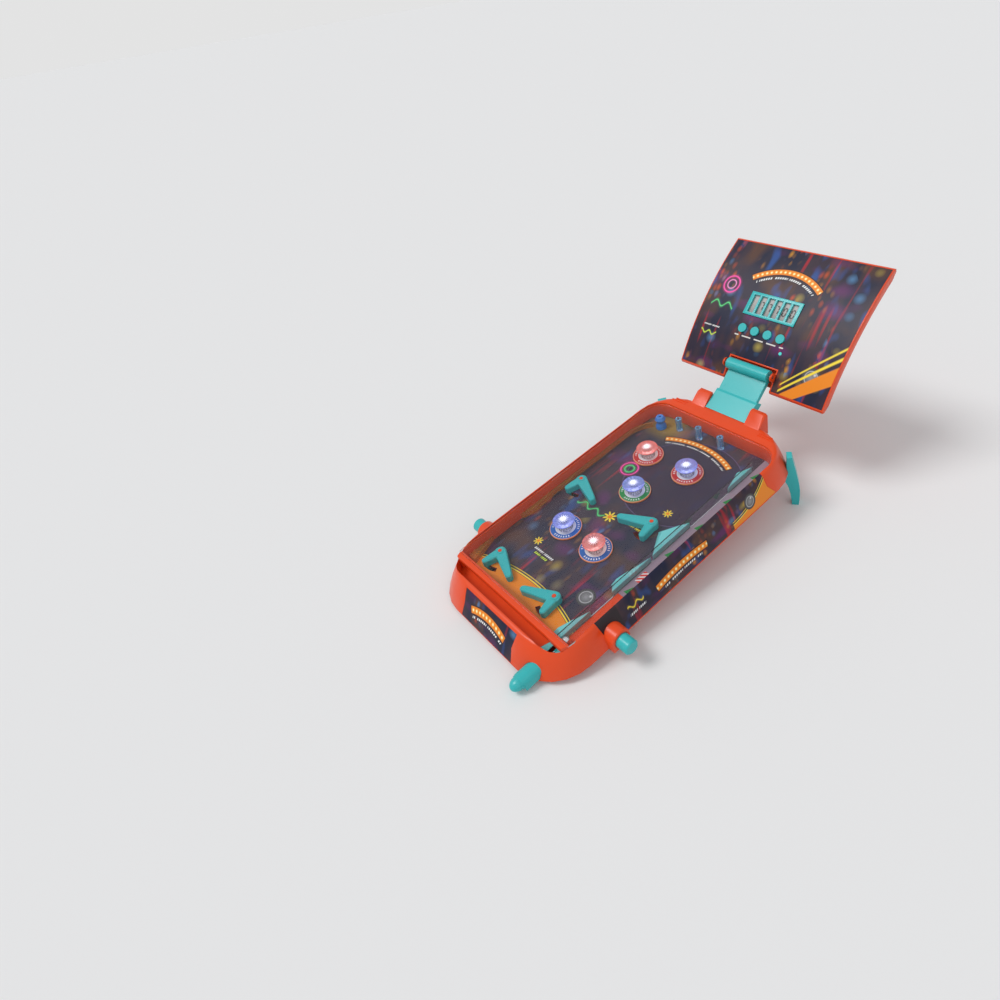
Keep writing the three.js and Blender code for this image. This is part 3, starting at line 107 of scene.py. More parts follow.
# Quads of a grid of rows by columns, closed round the columns or not
def gridFaces(rows, columns, closed=True):
    r, c = np.meshgrid(np.arange(rows - 1), np.arange(columns - (0 if closed else 1)), indexing="ij")
    a = r * columns + c
    b = r * columns + (c + 1) % columns
    return np.stack([a, b, b + columns, a + columns], -1).reshape(-1, 4)


# Surface of revolution: (r(t) cos a, r(t) sin a, z(t)), with a point at each end that is on the axis
def turnedPoints(profile, steps):
    profile = np.asarray(profile, float)
    angle = np.linspace(0, 2 * math.pi, steps, endpoint=False)
    r, z = profile[:, 0][:, None], profile[:, 1][:, None]
    ring = np.stack([r * np.cos(angle), r * np.sin(angle), z + 0 * angle], -1).reshape(-1, 3)
    ends = np.array([[0, 0, profile[0, 1]], [0, 0, profile[-1, 1]]])
    return np.concatenate([ring, ends])


def turnedFaces(rows, steps):
    faces = gridFaces(rows, steps).tolist()
    first, last = rows * steps, rows * steps + 1
    ring = range(steps)
    faces += [[first, (k + 1) % steps, k] for k in ring]
    faces += [[last, (rows - 1) * steps + k, (rows - 1) * steps + (k + 1) % steps] for k in ring]
    return faces


# Profile points with each inner corner rounded by three points of a small curve:
# p + (1-t)^2 a + t^2 b about the corner p
def softened(profile, reach):
    out = [profile[0]]
    for before, corner, after in zip(profile[:-2], profile[1:-1], profile[2:]):
        p = np.array(corner, float)
        a, b = np.array(before, float) - p, np.array(after, float) - p
        la, lb = np.linalg.norm(a), np.linalg.norm(b)
        step = min(reach, la * 0.45, lb * 0.45)
        for t in (0.0, 0.25, 0.5, 0.75, 1.0):
            out.append(tuple(p + (1 - t) ** 2 * a / la * step + t ** 2 * b / lb * step))
    return out + [profile[-1]]


# A socket gets a formula, a colour, a number or a link from another socket
def feed(tree, socket, value):
    value = value.value if isinstance(value, (Formula, Coat)) else value
    if isinstance(value, tuple):
        socket.default_value = (*value, 1.0)
    elif isinstance(value, (int, float)):
        socket.default_value = value
    else:
        tree.links.new(value, socket)


# A node's inputs by name, with _ for a space
def fill(tree, node, **values):
    for label, value in values.items():
        feed(tree, node.inputs[label.replace("_", " ")], value)


# A number inside a material, so that a pattern can be written as a formula
class Formula:
    def __init__(self, tree, value):
        self.tree, self.value = tree, value

    def made(self, operation, *others, clamp=False):
        node = self.tree.nodes.new("ShaderNodeMath")
        node.operation, node.use_clamp = operation, clamp
        for socket, value in zip(node.inputs, (self, *others)):
            feed(self.tree, socket, value)
        return Formula(self.tree, node.outputs[0])

    def __add__(self, other): return self.made("ADD", other)
    def __sub__(self, other): return self.made("SUBTRACT", other)
    def __mul__(self, other): return self.made("MULTIPLY", other)
    def __truediv__(self, other): return self.made("DIVIDE", other)
    def __rsub__(self, other): return (self * -1.0) + other
    __radd__, __rmul__ = __add__, __mul__
    def abs(self): return self.made("ABSOLUTE")
    def sin(self): return self.made("SINE")
    def root(self): return self.made("SQRT")
    def part(self): return self.made("FRACT")
    def least(self, other): return self.made("MINIMUM", other)
    def most(self, other): return self.made("MAXIMUM", other)
    def angleTo(self, other): return self.made("ARCTAN2", other)

    # 1 below the limit, 0 above it, with a soft edge
    def below(self, limit, soft=0.15):
        return (((self - limit) * (-0.5 / soft)) + 0.5).made("ADD", 0.0, clamp=True)

    def above(self, limit, soft=0.15):
        return (((self - limit) * (0.5 / soft)) + 0.5).made("ADD", 0.0, clamp=True)

    def between(self, low, high, soft=0.15):
        return self.above(low, soft) * self.below(high, soft)


def distance(u, v, u0, v0):
    return ((u - u0) * (u - u0) + (v - v0) * (v - v0)).root()


# A colour inside a material, and others laid over it one by one, each where its mask is 1
class Coat:
    def __init__(self, tree, colour):
        self.tree, self.value = tree, colour

    def lay(self, over, mask):
        mix = self.tree.nodes.new("ShaderNodeMix")
        mix.data_type = "RGBA"
        for number, value in ((0, mask), (6, self), (7, over)):
            feed(self.tree, mix.inputs[number], value)
        self.value = mix.outputs[2]
        return self


# Object coordinates turned into the tray's or the board's millimetres
def millimetres(tree, where="tray"):
    place = tree.nodes.new("ShaderNodeTexCoord")
    mapping = tree.nodes.new("ShaderNodeMapping")
    turn = -tray["incline"] + (board["lean"] if where == "board" else 0.0)
    home = onBoard([(0, 0, 0)])[0] if where == "board" else onTray([(0, 0, 0)])[0]
    shift = -turnedAboutX([home / millimetre], turn)[0]
    mapping.inputs["Scale"].default_value = (1 / millimetre,) * 3
    mapping.inputs["Rotation"].default_value = (math.radians(turn), 0, 0)
    mapping.inputs["Location"].default_value = tuple(shift)
    tree.links.new(place.outputs["Object"], mapping.inputs["Vector"])
    apart = tree.nodes.new("ShaderNodeSeparateXYZ")
    tree.links.new(mapping.outputs[0], apart.inputs[0])
    return mapping.outputs[0], [Formula(tree, socket) for socket in apart.outputs]


# A group of nodes: an input is a vector for None, a colour for a tuple, otherwise a number
def newGroup(name, inputs, outputs):
    group = bpy.data.node_groups.new(name, "ShaderNodeTree")
    kinds = {type(None): "NodeSocketVector", tuple: "NodeSocketColor", float: "NodeSocketFloat"}
    for label, value in inputs.items():
        socket = group.interface.new_socket(label, in_out="INPUT", socket_type=kinds[type(value)])
        if value is not None:
            socket.default_value = value
    for label in outputs:
        kind = kinds[tuple if label == "Color" else float]
        group.interface.new_socket(label, in_out="OUTPUT", socket_type=kind)
    sockets = group.nodes.new("NodeGroupInput").outputs
    given = {label: Formula(group, sockets[label]) for label in inputs}
    return group, given, group.nodes.new("NodeGroupOutput")


def noiseNode(tree, vector, scale, detail=3.0, rough=0.5):
    node = tree.nodes.new("ShaderNodeTexNoise")
    fill(tree, node, Vector=vector, Scale=scale, Detail=detail, Roughness=rough)
    return Formula(tree, node.outputs[0])


# Moulded plastic: cloudy tone, fine eggshell grain and rubbed spots. The first three are
# patterns per millimetre, the last two say how far they change the roughness.
mould = {"cloud": 0.035, "grain": 1.9, "rub": 0.16, "rubRough": 0.09, "cloudRough": 0.08}


def mouldEffect():
    tree, given, result = newGroup("mouldEffect", {
        "Vector": None, "Color": (0.8, 0.8, 0.8, 1), "Cloud": 0.06, "Roughness": 0.3, "Grain": 1.0,
    }, ("Color", "Roughness", "Height"))
    vector = given["Vector"]
    cloud = noiseNode(tree, vector, mould["cloud"])
    grain = noiseNode(tree, vector, mould["grain"], 2.0)
    rub = noiseNode(tree, vector, mould["rub"])
    tone = tree.nodes.new("ShaderNodeVectorMath")
    tone.operation = "SCALE"
    feed(tree, tone.inputs[0], given["Color"])
    feed(tree, tone.inputs["Scale"], (cloud - 0.5) * given["Cloud"] * 2.0 + 1.0)
    rough = given["Roughness"] + (rub - 0.5) * mould["rubRough"] + (cloud - 0.5) * mould["cloudRough"]
    fill(tree, result, Color=tone.outputs[0], Roughness=rough, Height=grain * given["Grain"])
    return tree


# Dust: a faint pale veil, thicker in patches, and specks
dust = {"veil": 0.05, "speck": 1.3, "speckStart": 0.78, "tone": (0.75, 0.73, 0.7)}


def dustEffect():
    tree, given, result = newGroup(
        "dustEffect", {"Color": (0.8, 0.8, 0.8, 1), "Amount": 0.05, "Vector": None}, ("Color",))
    veil = noiseNode(tree, given["Vector"], dust["veil"], 4.0)
    specks = noiseNode(tree, given["Vector"], dust["speck"], 1.0).above(dust["speckStart"], 0.02)
    mask = (veil * 0.7 + specks * 0.4) * given["Amount"]
    fill(tree, result, Color=Coat(tree, given["Color"].value).lay(dust["tone"], mask))
    return tree


# Night street far out of focus, printed on film. A layer: spots per millimetre across and up,
# where they start, their soft edge, their share, whether they glow, and their colour.
night = {
    "ground": (0.004, 0.006, 0.03), "haze": (0.3, 0.28, 0.34),
    "layers": [
        (0.035, 0.008, 0.5, 0.1, 1.0, False, (0.032, 0.017, 0.032)),
        (0.028, 0.02, 0.61, 0.1, 0.7, False, (0.1, 0.04, 0.018)),
        (0.018, 0.03, 0.66, 0.09, 0.6, False, (0.13, 0.012, 0.13)),
        (0.05, 0.022, 0.68, 0.08, 0.7, True, (0.02, 0.09, 0.34)),
        (0.09, 0.007, 0.7, 0.06, 0.8, True, (0.5, 0.008, 0.02)),
    ],
    "windows": {"across": 0.13, "up": 0.075, "rows": (0.03, 0.012, 0.58, 0.06), "share": 0.8,
                "tones": ((0.62, 0.27, 0.02), (0.75, 0.09, 0.01), (0.1, 0.3, 0.62))},
    "lamps": {"across": 0.036, "shift": 7.0, "share": 0.5, "tones": ((0.65, 0.5, 0.08), (0.12, 0.32, 0.6))},
}


def nightEffect():
    tree, given, result = newGroup(
        "nightEffect", {"U": 0.0, "V": 0.0, "Seed": 0.0, "Glow": 1.0, "Haze": 0.0}, ("Color",))
    u, v, seed, glow = (given[label] for label in ("U", "V", "Seed", "Glow"))

    def at(across, up):
        join = tree.nodes.new("ShaderNodeCombineXYZ")
        for socket, value in zip(join.inputs, (across, up, seed)):
            feed(tree, socket, value)
        return join.outputs[0]

    def patch(across, up, low, soft):
        return noiseNode(tree, at(u * across, v * up), 1.0, 1.0).above(low, soft)

    # loose cells: the distance from a cell's middle, and two random numbers for each cell
    def cells(place):
        net = tree.nodes.new("ShaderNodeTexVoronoi")
        net.inputs["Scale"].default_value = 1.0
        tree.links.new(place, net.inputs["Vector"])
        pick = tree.nodes.new("ShaderNodeSeparateColor")
        tree.links.new(net.outputs["Color"], pick.inputs[0])
        sockets = net.outputs["Distance"], pick.outputs[0], pick.outputs[1]
        return [Formula(tree, socket) for socket in sockets]

    coat = Coat(tree, night["ground"])
    for across, up, low, soft, share, lit, tone in night["layers"]:
        mask = patch(across, up, low, soft) * share
        coat.lay(tone, mask * glow if lit else mask)
    # rows of lit windows between the streaks
    look = night["windows"]
    way, chance, hue = cells(at(u * look["across"], v * look["up"]))
    window = way.below(0.34, 0.26) * chance.above(0.56, 0.2)
    tone = Coat(tree, look["tones"][0]).lay(look["tones"][1], hue.above(0.45, 0.1))
    tone.lay(look["tones"][2], hue.above(0.85, 0.05))
    coat.lay(tone, window * patch(*look["rows"]) * glow * look["share"])
    # a few soft lamps nearer to the eye
    look = night["lamps"]
    way, chance, hue = cells(at(u * look["across"] + look["shift"], v * look["across"]))
    tone = Coat(tree, look["tones"][0]).lay(look["tones"][1], hue.above(0.5, 0.1))
    coat.lay(tone, way.below(0.2, 0.14) * chance.above(0.66, 0.08) * glow * look["share"])
    fill(tree, result, Color=coat.lay(night["haze"], given["Haze"]))
    return tree


effects = {"mould": mouldEffect(), "dust": dustEffect(), "night": nightEffect()}


def placed(tree, effect, **values):
    node = tree.nodes.new("ShaderNodeGroup")
    node.node_tree = effects[effect]
    fill(tree, node, **values)
    return node.outputs


def newMaterial(name, **constants):
    material = bpy.data.materials.new(name)
    material.use_nodes = True
    tree = material.node_tree
    tree.nodes.clear()
    output = tree.nodes.new("ShaderNodeOutputMaterial")
    shader = tree.nodes.new("ShaderNodeBsdfPrincipled")
    tree.links.new(shader.outputs[0], output.inputs[0])
    fill(tree, shader, **constants)
    return material, tree, shader


def bumped(tree, shader, height, depth, strength=0.3):
    bump = tree.nodes.new("ShaderNodeBump")
    bump.inputs["Distance"].default_value = depth * millimetre
    bump.inputs["Strength"].default_value = strength
    tree.links.new(height, bump.inputs["Height"])
    tree.links.new(bump.outputs[0], shader.inputs["Normal"])


# colour, roughness, cloud, grain and gloss of each moulded plastic
plastics = {
    "orange_plastic": {"color": (0.78, 0.062, 0.004), "rough": 0.32, "cloud": 0.05, "grain": 0.5,
                       "coat": 0.08},
    "teal_plastic": {"color": (0.028, 0.46, 0.47), "rough": 0.30, "cloud": 0.05, "grain": 0.4, "coat": 0.1},
    "guide_plastic": {"color": (0.17, 0.62, 0.62), "rough": 0.34, "cloud": 0.04, "grain": 0.3, "coat": 0.1},
    "blue_plastic": {"color": (0.03, 0.2, 0.62), "rough": 0.22, "cloud": 0.05, "grain": 0.3, "coat": 0.3},
    "dark_plastic": {"color": (0.03, 0.03, 0.035), "rough": 0.5, "cloud": 0.2, "grain": 1.0, "coat": 0.0},
    "rubber": {"color": (0.022, 0.022, 0.024), "rough": 0.75, "cloud": 0.25, "grain": 2.2, "coat": 0.0},
}


def plasticMaterial(name, look):
    material, tree, shader = newMaterial(
        name, IOR=1.49, Specular_IOR_Level=0.36, Coat_Weight=look["coat"], Coat_Roughness=0.12)
    vector, _ = millimetres(tree)
    moulded = placed(tree, "mould", Vector=vector, Color=look["color"], Cloud=look["cloud"],
                     Roughness=look["rough"], Grain=look["grain"])
    dusty = placed(tree, "dust", Color=moulded["Color"], Amount=0.016, Vector=vector)
    fill(tree, shader, Base_Color=dusty["Color"], Roughness=moulded["Roughness"])
    bumped(tree, shader, moulded["Height"], 0.04, 0.2)
    return material


materials = {name: plasticMaterial(name, look) for name, look in plastics.items()}
print("plastics made")

# clear and tinted plastics: tint, roughness, how much light goes through and the painted glow that a bumper
# cap of that tint emits
clears = {
    "clear_plastic": {"tint": (0.93, 0.96, 0.98), "rough": 0.04, "through": 1.0},
    "amber_plastic": {"tint": (0.85, 0.42, 0.08), "rough": 0.12, "through": 0.75},
    "tube_plastic": {"tint": (0.35, 0.68, 0.95), "rough": 0.05, "through": 0.8},
    "red_clear_plastic": {"tint": (0.78, 0.16, 0.14), "rough": 0.12, "through": 0.55,
                          "glow": (1.0, 0.32, 0.28)},
    "blue_clear_plastic": {"tint": (0.2, 0.23, 0.75), "rough": 0.12, "through": 0.55,
                           "glow": (0.4, 0.5, 1.0)},
}


# Light passes clear plastic as through a tinted opening: shadow and diffuse rays don't see the sheet
def openShadow(tree, shader, tint):
    ray = tree.nodes.new("ShaderNodeLightPath")
    opening = tree.nodes.new("ShaderNodeBsdfTransparent")
    opening.inputs[0].default_value = (*tint, 1)
    mix = tree.nodes.new("ShaderNodeMixShader")
    output = next(n for n in tree.nodes if n.type == "OUTPUT_MATERIAL")
    unseen = Formula(tree, ray.outputs["Is Shadow Ray"]).most(Formula(tree, ray.outputs["Is Diffuse Ray"]))
    tree.links.new(unseen.value, mix.inputs[0])
    tree.links.new(shader.outputs[0], mix.inputs[1])
    tree.links.new(opening.outputs[0], mix.inputs[2])
    tree.links.new(mix.outputs[0], output.inputs[0])


def clearMaterial(name, look):
    material, tree, shader = newMaterial(name, IOR=1.46, Transmission_Weight=look["through"])
    vector, _ = millimetres(tree)
    smear = noiseNode(tree, vector, 0.12, 4.0, 0.6)
    coat = Coat(tree, look["tint"]).lay(tuple(0.9 * c for c in look["tint"]), smear)
    dusty = placed(tree, "dust", Color=coat, Amount=0.05, Vector=vector)
    fill(tree, shader, Base_Color=dusty["Color"], Roughness=smear * 0.06 + look["rough"])
    openShadow(tree, shader, tuple(0.25 + 0.75 * c for c in look["tint"]))
    return material


materials.update({name: clearMaterial(name, look) for name, look in clears.items()})


# The flat cover: a clear sheet with faint smears
cover = {
    "bend": 1.24, "tint": (0.97, 0.975, 0.98), "shade": (0.95, 0.95, 0.96), "rough": 0.002, "smear": 0.018,
}


def coverMaterial():
    material, tree, shader = newMaterial("coverSheet", IOR=cover["bend"], Transmission_Weight=1.0)
    vector, _ = millimetres(tree)
    smear = noiseNode(tree, vector, 0.02, 4.0, 0.6).above(0.5, 0.3)
    fill(tree, shader, Base_Color=cover["tint"], Roughness=smear * cover["smear"] + cover["rough"])
    openShadow(tree, shader, cover["shade"])
    return material


materials["coverSheet"] = coverMaterial()

# Steel: drawn streaks between two greys, and how far they change the roughness
steel = {"dark": (0.62, 0.63, 0.65), "light": (0.78, 0.79, 0.8), "rough": 0.06, "drawn": 0.16}


def steelMaterial():
    material, tree, shader = newMaterial("steel", Metallic=1.0)
    vector, _ = millimetres(tree)
    drawn = noiseNode(tree, vector, 0.9, 5.0, 0.7)
    fill(tree, shader, Base_Color=Coat(tree, steel["dark"]).lay(steel["light"], drawn),
         Roughness=drawn * steel["drawn"] + steel["rough"])
    bumped(tree, shader, drawn.value, 0.03, 0.15)
    return material


materials["steel"] = steelMaterial()


# Circuit board: green mask with a net of lighter tracks and pads, and a teal lamp
circuit = {
    "bricks": 0.2, "mortar": 0.03, "pitch": 5.0, "pad": 0.7,
    "lampAt": (35.0, 35.0), "lamp": 3.2, "lampDepth": 8.0,
    "tones": {"Color1": (0.01, 0.12, 0.04), "Color2": (0.015, 0.15, 0.05), "Mortar": (0.05, 0.3, 0.12)},
}


def circuitMaterial():
    material, tree, shader = newMaterial("circuit_green", Roughness=0.35, IOR=1.5)
    vector, (x, y, z) = millimetres(tree, "board")
    bricks = tree.nodes.new("ShaderNodeTexBrick")
    join = tree.nodes.new("ShaderNodeCombineXYZ")
    fill(tree, join, X=x, Y=z)
    fill(tree, bricks, Vector=join.outputs[0], Scale=circuit["bricks"], Mortar_Size=circuit["mortar"],
         **circuit["tones"])
    pitch = circuit["pitch"]
    across, up = (((way / pitch).part() - 0.5) * pitch for way in (x, z))
    pads = distance(across, up, 0.0, 0.0).below(circuit["pad"], 0.1)
    coat = Coat(tree, bricks.outputs[0]).lay((0.6, 0.58, 0.5), pads)
    lamp = distance(x, z, *circuit["lampAt"]).below(circuit["lamp"], 0.2)
    lamp = lamp * y.below(circuit["lampDepth"], 0.5)
    fill(tree, shader, Base_Color=coat.lay((0.08, 0.7, 0.66), lamp))
    return material


materials["circuit_green"] = circuitMaterial()
print("clear plastics, steel and circuit board made")


# Printed film: fine print dots under every printed colour
def printShader(name, where, paint):
    material, tree, shader = newMaterial(name, IOR=1.45, Specular_IOR_Level=0.28)
    vector, (x, y, z) = millimetres(tree, where)
    dusty = placed(tree, "dust", Color=paint(tree, vector, x, y, z), Amount=0.02, Vector=vector)
    dots = noiseNode(tree, vector, 2.6, 1.0)
    fill(tree, shader, Base_Color=dusty["Color"], Roughness=dots * 0.06 + 0.36)
    bumped(tree, shader, dots.value, 0.004, 0.06)
    return material


# Marquee: an orange band with a row of lit bulbs, along an arc about a centre
def marquee(coat, u, v, centre, radius, reach, width=4.2, pitch=7.0):
    du, dv = u - centre[0], v - centre[1]
    r = (du * du + dv * dv).root()
    along = du.angleTo(dv) * radius
    inside = along.abs().below(reach, 0.4)
    off = (r - radius).abs()
    step = ((along / pitch).part() - 0.5) * pitch
    bulb = (step * step + off * off).root()
    rim = off.below(width + 1.4, 0.3) * along.abs().below(reach + 1.4, 0.3)
    coat.lay((0.02, 0.008, 0.01), rim)
    coat.lay((0.85, 0.23, 0.01), off.below(width, 0.25) * inside)
    coat.lay((1.0, 0.62, 0.12), bulb.below(2.2, 0.5) * inside)
    coat.lay((1.0, 0.93, 0.62), bulb.below(1.2, 0.4) * inside)


# Row of slanted white bars of changing width, along an arc about a centre
def barRow(coat, u, v, centre, radius, reach, height=2.6, pitch=3.6, tone=(0.85, 0.85, 0.85)):
    du, dv = u - centre[0], v - centre[1]
    off = (du * du + dv * dv).root() - radius
    along = du.angleTo(dv) * radius - off * 0.35
    inside = along.abs().below(reach, 0.2) * off.abs().below(height / 2, 0.15)
    word = ((along / (pitch * 6.5)).part() - 0.5).abs().below(0.43, 0.02)
    bars = ((along / pitch).part() - 0.5).abs().below(0.31, 0.05)
    edge = off.abs().below(height / 2 + 0.9, 0.2) * along.abs().below(reach + 0.9, 0.2) * word
    coat.lay((0.01, 0.008, 0.012), edge * 0.8)
    coat.lay(tone, inside * word * bars)


# Target of grey rings with a light spot, as wide as a printed ball
def greyTarget(coat, u, v, centre, radius):
    r = distance(u, v, *centre)
    spot = distance(u, v, centre[0] + radius * 0.3, centre[1] + radius * 0.35)
    grey = Coat(coat.tree, (0.05, 0.05, 0.052)).lay((0.3, 0.3, 0.31), r.below(radius * 0.45, radius * 0.5))
    grey.lay((0.42, 0.42, 0.43), (r - radius * 0.66).abs().below(radius * 0.05, 0.2))
    grey.lay((0.8, 0.8, 0.8), spot.below(radius * 0.1, radius * 0.1))
    coat.lay(grey, r.below(radius, 0.3))


# Neon ring: a bright tube with a soft halo
def neonRing(coat, u, v, centre, radius, tone, width=1.1):
    off = (distance(u, v, *centre) - radius).abs()
    coat.lay(tuple(0.6 * c for c in tone), off.below(width * 1.6, width * 2.2) * 0.6)
    coat.lay(tone, off.below(width, 0.3))


# Neon wave: v = height + swing sin(u / step), between two places
def neonWave(coat, u, v, height, swing, step, low, high, tone, width=1.1):
    off = ((u / step).sin() * swing + height - v).abs()
    inside = u.between(low, high, 0.4)
    halo = off.below(width * 1.6, width * 2.2) * inside * 0.6
    coat.lay(tuple(0.6 * c for c in tone), halo)
    coat.lay(tone, off.below(width, 0.3) * inside)


# Fan of bright bands from a far point: bands are [low angle, high angle, colour]
def fan(coat, u, v, point, bands, inside=1.0):
    angle = (v - point[1]).angleTo(u - point[0])
    for low, high, tone in bands:
        coat.lay(tone, angle.between(math.radians(low), math.radians(high), 0.004) * inside)


pink, green, lime = (0.9, 0.08, 0.38), (0.1, 0.62, 0.2), (0.62, 0.8, 0.08)
amber, sun, white = (0.85, 0.25, 0.012), (0.95, 0.72, 0.05), (0.85, 0.85, 0.85)
bare = plastics["orange_plastic"]["color"]

# Playing field print. Everything above the floor is the bare plastic of the flipper pins.
fieldPrint = {
    "disc": (22.0, 318.0, 84.0), "ring": (-58.0, 296.0, 13.0), "wave": (206.0, 4.0, 3.4, -72.0, -20.0),
    "marqueeCentre": (0.0, 270.0), "marqueeRadius": 122.0, "marqueeReach": 62.0,
    "sweepCentre": (-6.0, -196.0), "sweepRadius": 262.0, "target": (62.0, 96.0, 13.0),
    "words": [((30.0, -900.0), 1122.0, 17.0, white), ((30.0, -900.0), 1116.0, 9.0, sun),
              ((-36.0, -900.0), 1008.0, 21.0, white), ((-36.0, -900.0), 1002.0, 13.0, lime)],
    "stars": [(-12.0, 210.0, 11.0), (48.0, 262.0, 8.0), (-60.0, 118.0, 8.0)],
    "patch": (-52.0, 402.0, 20.0, 16.0), "sweepShade": (26.0, 4.0, 5.0),
    "sweepLines": [(1.6, 0.9), (5.2, 0.5)],
}


def paintField(tree, vector, x, y, z):
    look = fieldPrint
    coat = Coat(tree, placed(tree, "night", U=x, V=y * 0.8, Seed=3.0, Glow=0.75, Haze=0.06)["Color"])
    patch = distance(x * 0.7, y, *look["patch"][:2]).below(*look["patch"][2:])
    coat.lay((0.42, 0.27, 0.03), patch * 0.8)
    cx, cy, radius = look["disc"]
    disc = distance(x, y, cx, cy)
    coat.lay((0.03, 0.017, 0.045), disc.below(radius, 0.6) * 0.9)
    coat.lay((0.12, 0.08, 0.18), (disc - radius).abs().below(0.6, 0.3))
    marquee(coat, x, y, look["marqueeCentre"], look["marqueeRadius"], look["marqueeReach"])
    barRow(coat, x, y, look["marqueeCentre"], look["marqueeRadius"] - 9.0, look["marqueeReach"] * 0.9)
    neonRing(coat, x, y, look["ring"][:2], look["ring"][2], pink)
    neonRing(coat, x, y, look["ring"][:2], look["ring"][2] * 0.55, green)
    neonWave(coat, x, y, *look["wave"], green)
    for sx, sy, size in look["stars"]:
        # star of eight points: its edge is at size (0.6 + 0.3 cos 8a)
        angle = (y - sy).angleTo(x - sx)
        edge = ((angle * 8.0 + math.pi / 2).sin() * 0.3 + 0.6) * size
        coat.lay(sun, (distance(x, y, sx, sy) - edge).below(0.0, 0.3))
        coat.lay(amber, distance(x, y, sx, sy).below(size * 0.3, 0.3))
    # sweep of orange and yellow over the front: bands about a far centre
    sweep = distance(x, y, *look["sweepCentre"]) - look["sweepRadius"]
    coat.lay(amber, sweep.below(0.0, 0.3))
    shade = (sweep + look["sweepShade"][0]).abs().below(*look["sweepShade"][1:])
    coat.lay((0.2, 0.04, 0.01), shade * 0.5)
    for out, half in look["sweepLines"]:
        coat.lay(sun, (sweep - out).abs().below(half, 0.2))
    for centre, radius, reach, tone in look["words"]:
        barRow(coat, x, y, centre, radius, reach, 3.4, 3.2, tone)
    greyTarget(coat, x, y, look["target"][:2], look["target"][2])
    lane = paintLane(tree, vector, x, y, z)
    coat.lay(lane, x.above(field["laneEdge"], 0.1))
    # the tray in front of the bar and the pins above the floor are bare; the underside is dark red
    coat.lay(bare, y.below(field["bar"], 0.2))
    coat.lay(bare, z.above(field["floor"] + 0.05, 0.02))
    return coat.lay((0.32, 0.02, 0.06), z.below(field["floor"] - 0.2, 0.05))


# Shooter lane film: lilac with green arrowheads and a red and white chevron stack
lanePrint = {
    "arrows": (392.0, 334.0, 276.0, 219.0, 145.0), "middle": 97.5, "half": 5.0, "long": 13.0,
    "chevrons": (153.0, 172.0), "pitch": 6.4, "lilac": ((0.30, 0.23, 0.29), (0.36, 0.28, 0.34)),
    "arrowTone": (0.01, 0.26, 0.05), "stackTones": ((0.75, 0.03, 0.015), (0.8, 0.78, 0.76)),
}


def paintLane(tree, vector, x, y, z):
    look = lanePrint
    coat = Coat(tree, look["lilac"][0]).lay(look["lilac"][1], noiseNode(tree, vector, 0.03))
    across = (x - look["middle"]).abs()
    for tip in look["arrows"]:
        back = (y - tip) * -1.0
        flank = (across - back * (look["half"] / look["long"])).below(0.0, 0.2)
        inside = back.between(0.0, look["long"], 0.2) * flank
        coat.lay(look["arrowTone"], inside)
    zone = y.between(*look["chevrons"], 0.2) * across.below(look["half"] + 1.0, 0.2)
    saw = ((y + across * 0.9) / look["pitch"]).part()
    coat.lay(look["stackTones"][0], saw.below(0.55, 0.03) * zone)
    return coat.lay(look["stackTones"][1], saw.above(0.55, 0.03) * zone)


# Side panels: night scene with a sweep of orange and yellow at the rear and bulbs on the way
sidePrint = {
    "marqueeCentre": (205.0, -330.0), "marqueeRadius": 312.0, "marqueeReach": 46.0, "barsReach": 34.0,
    "sweepStart": 300.0, "wave": (-15.0, 2.4, 2.2, 112.0, 138.0), "words": ((125.0, -930.0), 906.0, 13.0),
    "target": (338.0, -19.0, 10.5), "printStart": 100.0, "bareRim": -1.3,
    "sweepTop": 8.0, "sweepLines": [(9.0, 0.7), (12.5, 0.45)],
}


def paintSide(tree, vector, x, y, z):
    look = sidePrint
    coat = Coat(tree, placed(tree, "night", U=y, V=z * 1.6, Seed=7.5, Glow=1.0, Haze=0.0)["Color"])
    # sweep: its edge rises with the square of the way from its start
    back = y - look["sweepStart"]
    sweep = z - (back * 0.011) * back * 0.4 + 39.0
    rear = y.above(look["sweepStart"], 0.5)
    coat.lay(amber, sweep.below(look["sweepTop"], 0.3) * rear)
    for out, half in look["sweepLines"]:
        coat.lay(sun, (sweep - out).abs().below(half, 0.2) * rear)
    marquee(coat, y, z, look["marqueeCentre"], look["marqueeRadius"], look["marqueeReach"])
    barRow(coat, y, z, look["marqueeCentre"], look["marqueeRadius"] - 8.0, look["barsReach"])
    neonWave(coat, y, z, *look["wave"], sun, 0.8)
    barRow(coat, y, z, *look["words"], 3.0, 3.0)
    greyTarget(coat, y, z, look["target"][:2], look["target"][2])
    coat.lay((0.022, 0.014, 0.018), y.below(look["printStart"], 0.6))
    # over the left rim the film ends and the bare plastic shows
    return coat.lay(bare, z.above(look["bareRim"], 0.1) * x.below(0.0, 0.1))


# Front panel: night scene with one band of bulbs over a row of bars
frontPrint = {"centre": (0.0, -118.0), "marquee": (104.0, 36.0), "bars": (95.5, 31.0, 3.0)}


def paintFront(tree, vector, x, y, z):
    look = frontPrint
    coat = Coat(tree, placed(tree, "night", U=x, V=z * 1.6, Seed=1.7, Glow=1.0, Haze=0.0)["Color"])
    marquee(coat, x, z, look["centre"], *look["marquee"])
    barRow(coat, x, z, look["centre"], *look["bars"])
    return coat


